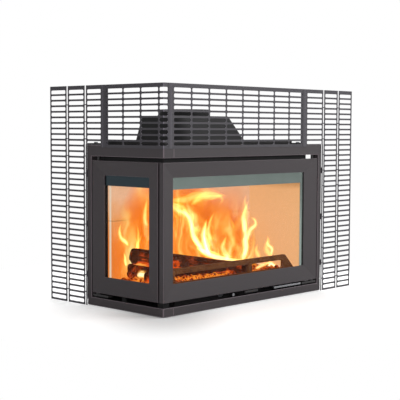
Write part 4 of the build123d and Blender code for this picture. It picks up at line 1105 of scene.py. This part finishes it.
def addEmberBed(name, spec):
    # heap of coals: the highest of many round lumps h (1 - d^2 / r^2) over a low mound
    generator = np.random.default_rng(spec["seed"])
    x = np.linspace(*spec["x"], spec["columns"])
    y = np.linspace(*spec["y"], spec["rows"])
    xx, yy = np.meshgrid(x, y, indexing="ij")
    mound = spec["mound"] * np.clip(1 - ((xx - spec["centre"][0]) / spec["reach"][0]) ** 2
                                    - ((yy - spec["centre"][1]) / spec["reach"][1]) ** 2, 0, 1)
    coals = generator.uniform(*zip(spec["x"], spec["y"], spec["coalSize"]), (spec["coals"], 3))
    lumps = np.zeros(xx.shape)
    for coalX, coalY, radius in coals:
        height = radius * (1 - ((xx - coalX) ** 2 + (yy - coalY) ** 2) / radius ** 2)
        lumps = np.maximum(lumps, height)
    flat = np.stack([xx, yy, 0 * xx], -1).reshape(-1, 3)
    crumbs = spec["crumb"] * ripple(flat, spec["crumbSize"], spec["seed"], 3).reshape(xx.shape)
    edge = np.minimum.reduce([xx - x[0], x[-1] - xx, yy - y[0], y[-1] - yy])
    heap = (mound + spec["coalRise"] * lumps + crumbs + spec["crust"]) * np.clip(edge / spec["rimFade"], 0, 1)
    zz = fromCorner("floor_burn_plates")[1][2] + spec["floorGap"] + heap
    piece = addMesh(name, np.stack([xx, yy, zz], -1), gridFaces(len(x), len(y)), "embers", smooth=True,
                    outward=(0, 0, 1))
    withWall(piece, spec["wall"])


addEmberBed("emberBed", emberBed)


ceiling = fromCorner("smoke_baffle")[0][2] - 4    # the flames end 4 mm under the baffle


gasWall = {
    "steps": (90, 50),
    "waves": ((1.0, 1.6, 0.35), (0.5, 3.7, -0.6)),   # height, and waves across and upwards
    "rootShare": 0.35,       # how much of the waves pushes the root
    "leanPower": 1.5,
    "climbOver": 0.2, "climbPower": 0.8, "climbFrom": 0.5,
    "crown": 0.08, "crownWave": 14.4,
    "rimDrop": 6.0,          # mm that the root stays under the ceiling
}


def addCurtain(name, spec):
    # A curtain of burning gas, thin like a lens: x and y run from start to end while two sine waves push
    # it to and fro, more the higher it is; front and back meet at the rim. Its height climbs over the
    # first fifth and falls with the square of the way, under the ceiling of the firebox.
    u, v = (np.linspace(0, 1, count) for count in gasWall["steps"])
    uu, vv = np.meshgrid(u, v, indexing="ij")
    start, end, phase = np.array(spec["start"]), np.array(spec["end"]), spec["seed"]
    wave = sum(share * np.sin(2 * math.pi * (across * uu + up * vv) + phase)
               for share, across, up in gasWall["waves"])
    root, climbFrom = gasWall["rootShare"], gasWall["climbFrom"]
    bulge = spec["thickness"] * np.sqrt(np.clip(16 * uu * (1 - uu) * vv * (1 - vv), 0, 1))
    x = start[0] + (end[0] - start[0]) * uu + spec["lean"] * vv ** gasWall["leanPower"]
    y = start[1] + (end[1] - start[1]) * uu + spec["depth"] * wave * (root + (1 - root) * vv)
    climb = climbFrom + (1 - climbFrom) * np.clip(uu / gasWall["climbOver"], 0, 1) ** gasWall["climbPower"]
    crown = 1 + gasWall["crown"] * np.sin(gasWall["crownWave"] * uu + phase)
    height = spec["height"] * climb * crown * (1 - spec["fall"] * uu ** 2)
    z = np.minimum(start[2] + (end[2] - start[2]) * uu + height * vv, ceiling - gasWall["rimDrop"] * (1 - vv))
    front, back = (np.stack([x, y + side * bulge, z], -1).reshape(-1, 3) for side in (-1, 1))
    faces = gridFaces(len(u), len(v))
    both = np.concatenate([faces, faces[:, ::-1] + len(front)])
    uv = np.concatenate([np.stack([uu, vv], -1).reshape(-1, 2)] * 2)
    addMesh(name, np.concatenate([front, back]), both, spec["paint"], smooth=True, uv=uv, merge=True,
            outward="solid")


curtains = {
    "flameBackCurtain": {"start": (30, 244, 92), "end": (672, 244, 90), "height": 345, "fall": 0.25,
                         "lean": 0, "depth": 3, "thickness": 3, "seed": 0.4, "paint": "curtainBack"},
    "flameMiddleCurtain": {"start": (40, 190, 120), "end": (640, 176, 92), "height": 310, "fall": 0.45,
                           "lean": 10, "depth": 8, "thickness": 4, "seed": 1.9, "paint": "curtainMiddle"},
    "flameFrontCurtain": {"start": (90, 150, 150), "end": (640, 120, 88), "height": 240, "fall": 0.5,
                          "lean": 16, "depth": 8, "thickness": 4, "seed": 3.3, "paint": "curtainFront"},
}
for name, spec in curtains.items():
    addCurtain(name, spec)


tongueForm = {"steps": 72, "smoothing": 40, "ringPoints": 16, "thinness": 6.0, "sway": 6.0}


def addTongue(name, path, depth, width, paint, turn=0.0):
    # A lens-shaped tongue carried along a smooth line: half width w sin(pi t^0.6)^0.7 at place t, and
    # a sixth of that thick; turn swings its flat side away from the front
    knots = np.array(path, float)
    steps = np.concatenate([[0], np.cumsum(np.linalg.norm(np.diff(knots, axis=0), axis=1))])
    t = np.linspace(0, 1, tongueForm["steps"])
    x, z = (np.interp(t * steps[-1], steps, knots[:, k]) for k in (0, 1))
    for _ in range(tongueForm["smoothing"]):
        x[1:-1] = (x[:-2] + 2 * x[1:-1] + x[2:]) / 4
        z[1:-1] = (z[:-2] + 2 * z[1:-1] + z[2:]) / 4
    lineX, lineZ = np.gradient(x), np.gradient(z)
    size = np.hypot(lineX, lineZ)
    half = width / 2 * np.sin(math.pi * t ** 0.6) ** 0.7
    half[[0, -1]] = 0
    a = np.linspace(0, 2 * math.pi, tongueForm["ringPoints"], endpoint=False)
    side, through = half[:, None] * np.cos(a), half[:, None] * np.sin(a) / tongueForm["thinness"]
    normalX, normalZ = (lineZ / size)[:, None], (-lineX / size)[:, None]
    y = depth + tongueForm["sway"] * np.sin(3 * t + turn)[:, None]
    points = np.stack([x[:, None] + side * normalX * math.cos(turn), y + through + side * math.sin(turn),
                       z[:, None] + side * normalZ], -1)
    uv = np.stack(np.broadcast_arrays((1 + np.cos(a)) / 2, t[:, None]), -1)
    addMesh(name, points, gridFaces(len(t), len(a), closeColumns=True), paint, smooth=True, uv=uv,
            merge=True, outward="solid")


tongues = {
    # piece: its depth and width, its colour, and its line from root to tip in x and z
    "flameTall": (120, 62, "white", [(330, 148), (325, 160), (315, 190), (306, 217), (308, 239), (318, 275)]),
    "flameBranch": (130, 44, "white", [(318, 160), (294, 187), (268, 215), (262, 250), (256, 272), (231, 295),
                                       (200, 299), (168, 318)]),
    "flameMass": (150, 96, "yellow", [(306, 225), (296, 247), (268, 281), (231, 299), (194, 317),
                                      (150, 330)]),
    "flameBroad": (175, 150, "orange", [(433, 134), (374, 186), (316, 245), (259, 302), (221, 342)]),
    "flameStrandLeft": (135, 26, "yellow", [(331, 147), (299, 175), (267, 216), (262, 250), (274, 283),
                                            (256, 309)]),
    "flameStrandBright": (115, 22, "white", [(331, 147), (312, 175), (302, 220), (307, 249), (314, 277)]),
    "flameStrandRight": (140, 40, "yellow", [(387, 145), (363, 189), (347, 230), (355, 261), (379, 292)]),
    "flameMiddleLow": (125, 46, "orange", [(498, 129), (479, 156), (452, 188), (459, 228), (433, 275)]),
    "flameWispHigh": (170, 46, "orange", [(292, 315), (349, 339), (407, 334), (452, 342), (471, 331)]),
    "flameWispRight": (170, 54, "orange", [(569, 176), (561, 218), (576, 274), (560, 312), (571, 342)]),
    "flameCloudLeft": (178, 70, "orange", [(242, 176), (232, 220), (242, 259), (228, 298)]),
    "flameHookGlow": (100, 44, "orange", [(619, 123), (598, 153), (610, 178), (598, 200)]),
    "flameLowRight": (100, 34, "orange", [(559, 126), (543, 153), (550, 173)]),
    "flameSecond": (120, 48, "yellow", [(425, 128), (397, 170), (403, 189), (416, 212)]),
    "flameThird": (110, 52, "white", [(480, 120), (505, 155), (498, 191), (501, 227), (483, 269),
                                      (517, 330)]),
    "flameLoop": (110, 36, "yellow", [(500, 180), (523, 221), (557, 236), (549, 255), (518, 266)]),
    "flameHook": (90, 26, "yellow", [(606, 128), (620, 152), (589, 171), (592, 196)]),
    "flameRoots": (110, 52, "white", [(256, 184), (268, 177), (311, 159), (368, 139), (443, 124),
                                      (525, 120)]),
    "flameCrest": (160, 54, "orange", [(190, 336), (261, 330), (312, 345), (382, 350), (430, 342), (450, 325),
                                       (410, 306)]),
    "flameUnderBar": (70, 26, "yellow", [(500, 96), (559, 104), (580, 109), (587, 134)]),
    "flameAtBar": (80, 26, "white", [(575, 88), (600, 105), (621, 92), (652, 84)]),
    "flameLeftTall": (200, 44, "yellow", [(132, 200), (127, 210), (124, 258), (119, 299), (128, 350)]),
    "flameLeftHook": (235, 28, "yellow", [(76, 192), (70, 204), (50, 218), (41, 244), (48, 268)]),
    "flameLeftLow": (215, 20, "yellow", [(48, 132), (50, 157), (40, 178)]),
    "flameUnderLog": (150, 46, "white", [(34, 110), (56, 112), (80, 104), (102, 84)]),
}
for name, (depth, width, colour, path) in tongues.items():
    addTongue(name, path, depth, width, colour + "Tongue")


flicker = {"count": 26, "x": (70, 600), "y": (185, 232), "z": (100, 150), "tall": (50, 150),
           "width": (12, 30), "sway": (8, 22), "waves": 0.7, "phase": (0, 6.3), "lower": 0.5,
           "turn": (-0.5, 0.5), "steps": 7, "seed": 21}


def addFlicker(spec):
    # small tongues between the large ones, each on an S-shaped line z = h t, x = x0 + s t sin(2 pi w t + p)
    generator = np.random.default_rng(spec["seed"])
    t = np.linspace(0, 1, spec["steps"])
    for i in range(spec["count"]):
        x, y, z, tall, width, sway, phase = (generator.uniform(*spec[key])
                                             for key in ("x", "y", "z", "tall", "width", "sway", "phase"))
        aside = sway * np.sin(2 * math.pi * spec["waves"] * t + phase) * t
        tall *= 1 - spec["lower"] * (x / spec["x"][1]) ** 2
        path = np.stack([x + aside, z + tall * t], -1)
        paint = ("orangeTongue", "yellowTongue", "orangeTongue")[i % 3]
        addTongue(f"flameSmall{i + 1}", path, y, width, paint, generator.uniform(*spec["turn"]))


addFlicker(flicker)
print("fire laid")


# Stage: pale floor and white surroundings. The floor shows the real shadow round the piece and fades to
# plain white; before the near corner its white glow is lowered in an ellipse, a painted shadow.

stage = {"reach": 6.0, "floorColour": 0.8, "floorLight": 0.36, "shadowPatchLight": 0.04, "worldLight": 0.55,
         "fadeFrom": 0.55, "fadeTo": 1.0, "corner": (-0.47, -0.27, 0.0), "shadowPatchReach": (0.55, 0.24, 1.0),
         "shadowPatchTurn": 223.5, "shadowPatchStart": 0.1}
white = (1, 1, 1, 1)


def addFloor(spec):
    reach = spec["reach"]
    mesh = bpy.data.meshes.new("paleFloor")
    corners = [(x * reach, y * reach, 0) for x, y in ((-1, -1), (1, -1), (1, 1), (-1, 1))]
    mesh.from_pydata(corners, [], [(0, 1, 2, 3)])
    floor = addObject("paleFloor", mesh)
    material, add, place = newMaterial("whiteStudioFloor")
    matt = add("BsdfDiffuse", {"Color": (spec["floorColour"],) * 3 + (1,)})
    # painted shadow: an ellipse before the near corner where the floor's white glow is lowered
    shadowPatch = add("Mapping", {"vector_type": "TEXTURE", "Location": spec["corner"],
                              "Rotation": (0, 0, math.radians(spec["shadowPatchTurn"])),
                              "Scale": spec["shadowPatchReach"], "Vector": place})
    shadowPatchDistance = compute(add, "LENGTH", shadowPatch, kind="VectorMath")
    glow = remap(add, shadowPatchDistance, (spec["shadowPatchLight"], spec["floorLight"]), (spec["shadowPatchStart"], 1.0),
                 interpolation_type="SMOOTHSTEP")
    lit = add("AddShader", {0: matt, 1: add("Emission", {"Color": white, "Strength": glow})})
    away = compute(add, "LENGTH", place, kind="VectorMath")
    far = remap(add, away, (0.0, 1.0), (spec["fadeFrom"], spec["fadeTo"]), interpolation_type="SMOOTHSTEP")
    faded = add("MixShader", {0: far, 1: lit, 2: add("Emission", {"Color": white, "Strength": 1.0})})
    toCamera = add("LightPath").outputs["Is Camera Ray"]
    mesh.materials.append(closeMaterial(material, add("MixShader", {0: toCamera, 1: matt, 2: faded})))


def addSurroundings(spec):
    # white where the camera looks at it, also through glass, and dimmer as a light
    world = bpy.data.worlds.new("whiteStudio")
    bpy.context.scene.world = world
    world.use_nodes = True
    world.node_tree.nodes.clear()
    path = addNode(world, "LightPath").outputs
    direct = addNode(world, "Math", {"operation": "MAXIMUM", 0: path["Is Camera Ray"],
                                     1: path["Is Transmission Ray"]})
    strength = addNode(world, "MapRange", {"To Min": spec["worldLight"], "To Max": 1.0, "Value": direct})
    background = addNode(world, "Background", {"Color": white, "Strength": strength})
    addNode(world, "OutputWorld", {"Surface": background})


softboxes = {
    # lamp: its place, what it looks at, its width and height, all in metres, and its power in watts
    "keySoftbox": ((2.2, -3.0, 2.2), (0, 0, 0.3), (2.4, 2.4), 90),
    "topSoftbox": ((0.9, 1.0, 3.0), (0, 0, 0.2), (1.8, 1.8), 75),
    "edgeSoftbox": ((-3.2, -3.1, 1.3), (-0.4, -0.2, 0.4), (0.35, 1.6), 48),
}


def addSoftbox(name, place, target, size, power):
    data = bpy.data.lights.new(name, "AREA")
    data.shape = "RECTANGLE"
    data.size, data.size_y = size
    data.energy = power
    lamp = addObject(name, data)
    lamp.location = place
    lamp.rotation_euler = (Vector(target) - Vector(place)).to_track_quat("-Z", "Y").to_euler()


addFloor(stage)
addSurroundings(stage)
for name, (place, target, size, power) in softboxes.items():
    addSoftbox(name, place, target, size, power)
print("stage and lights set")
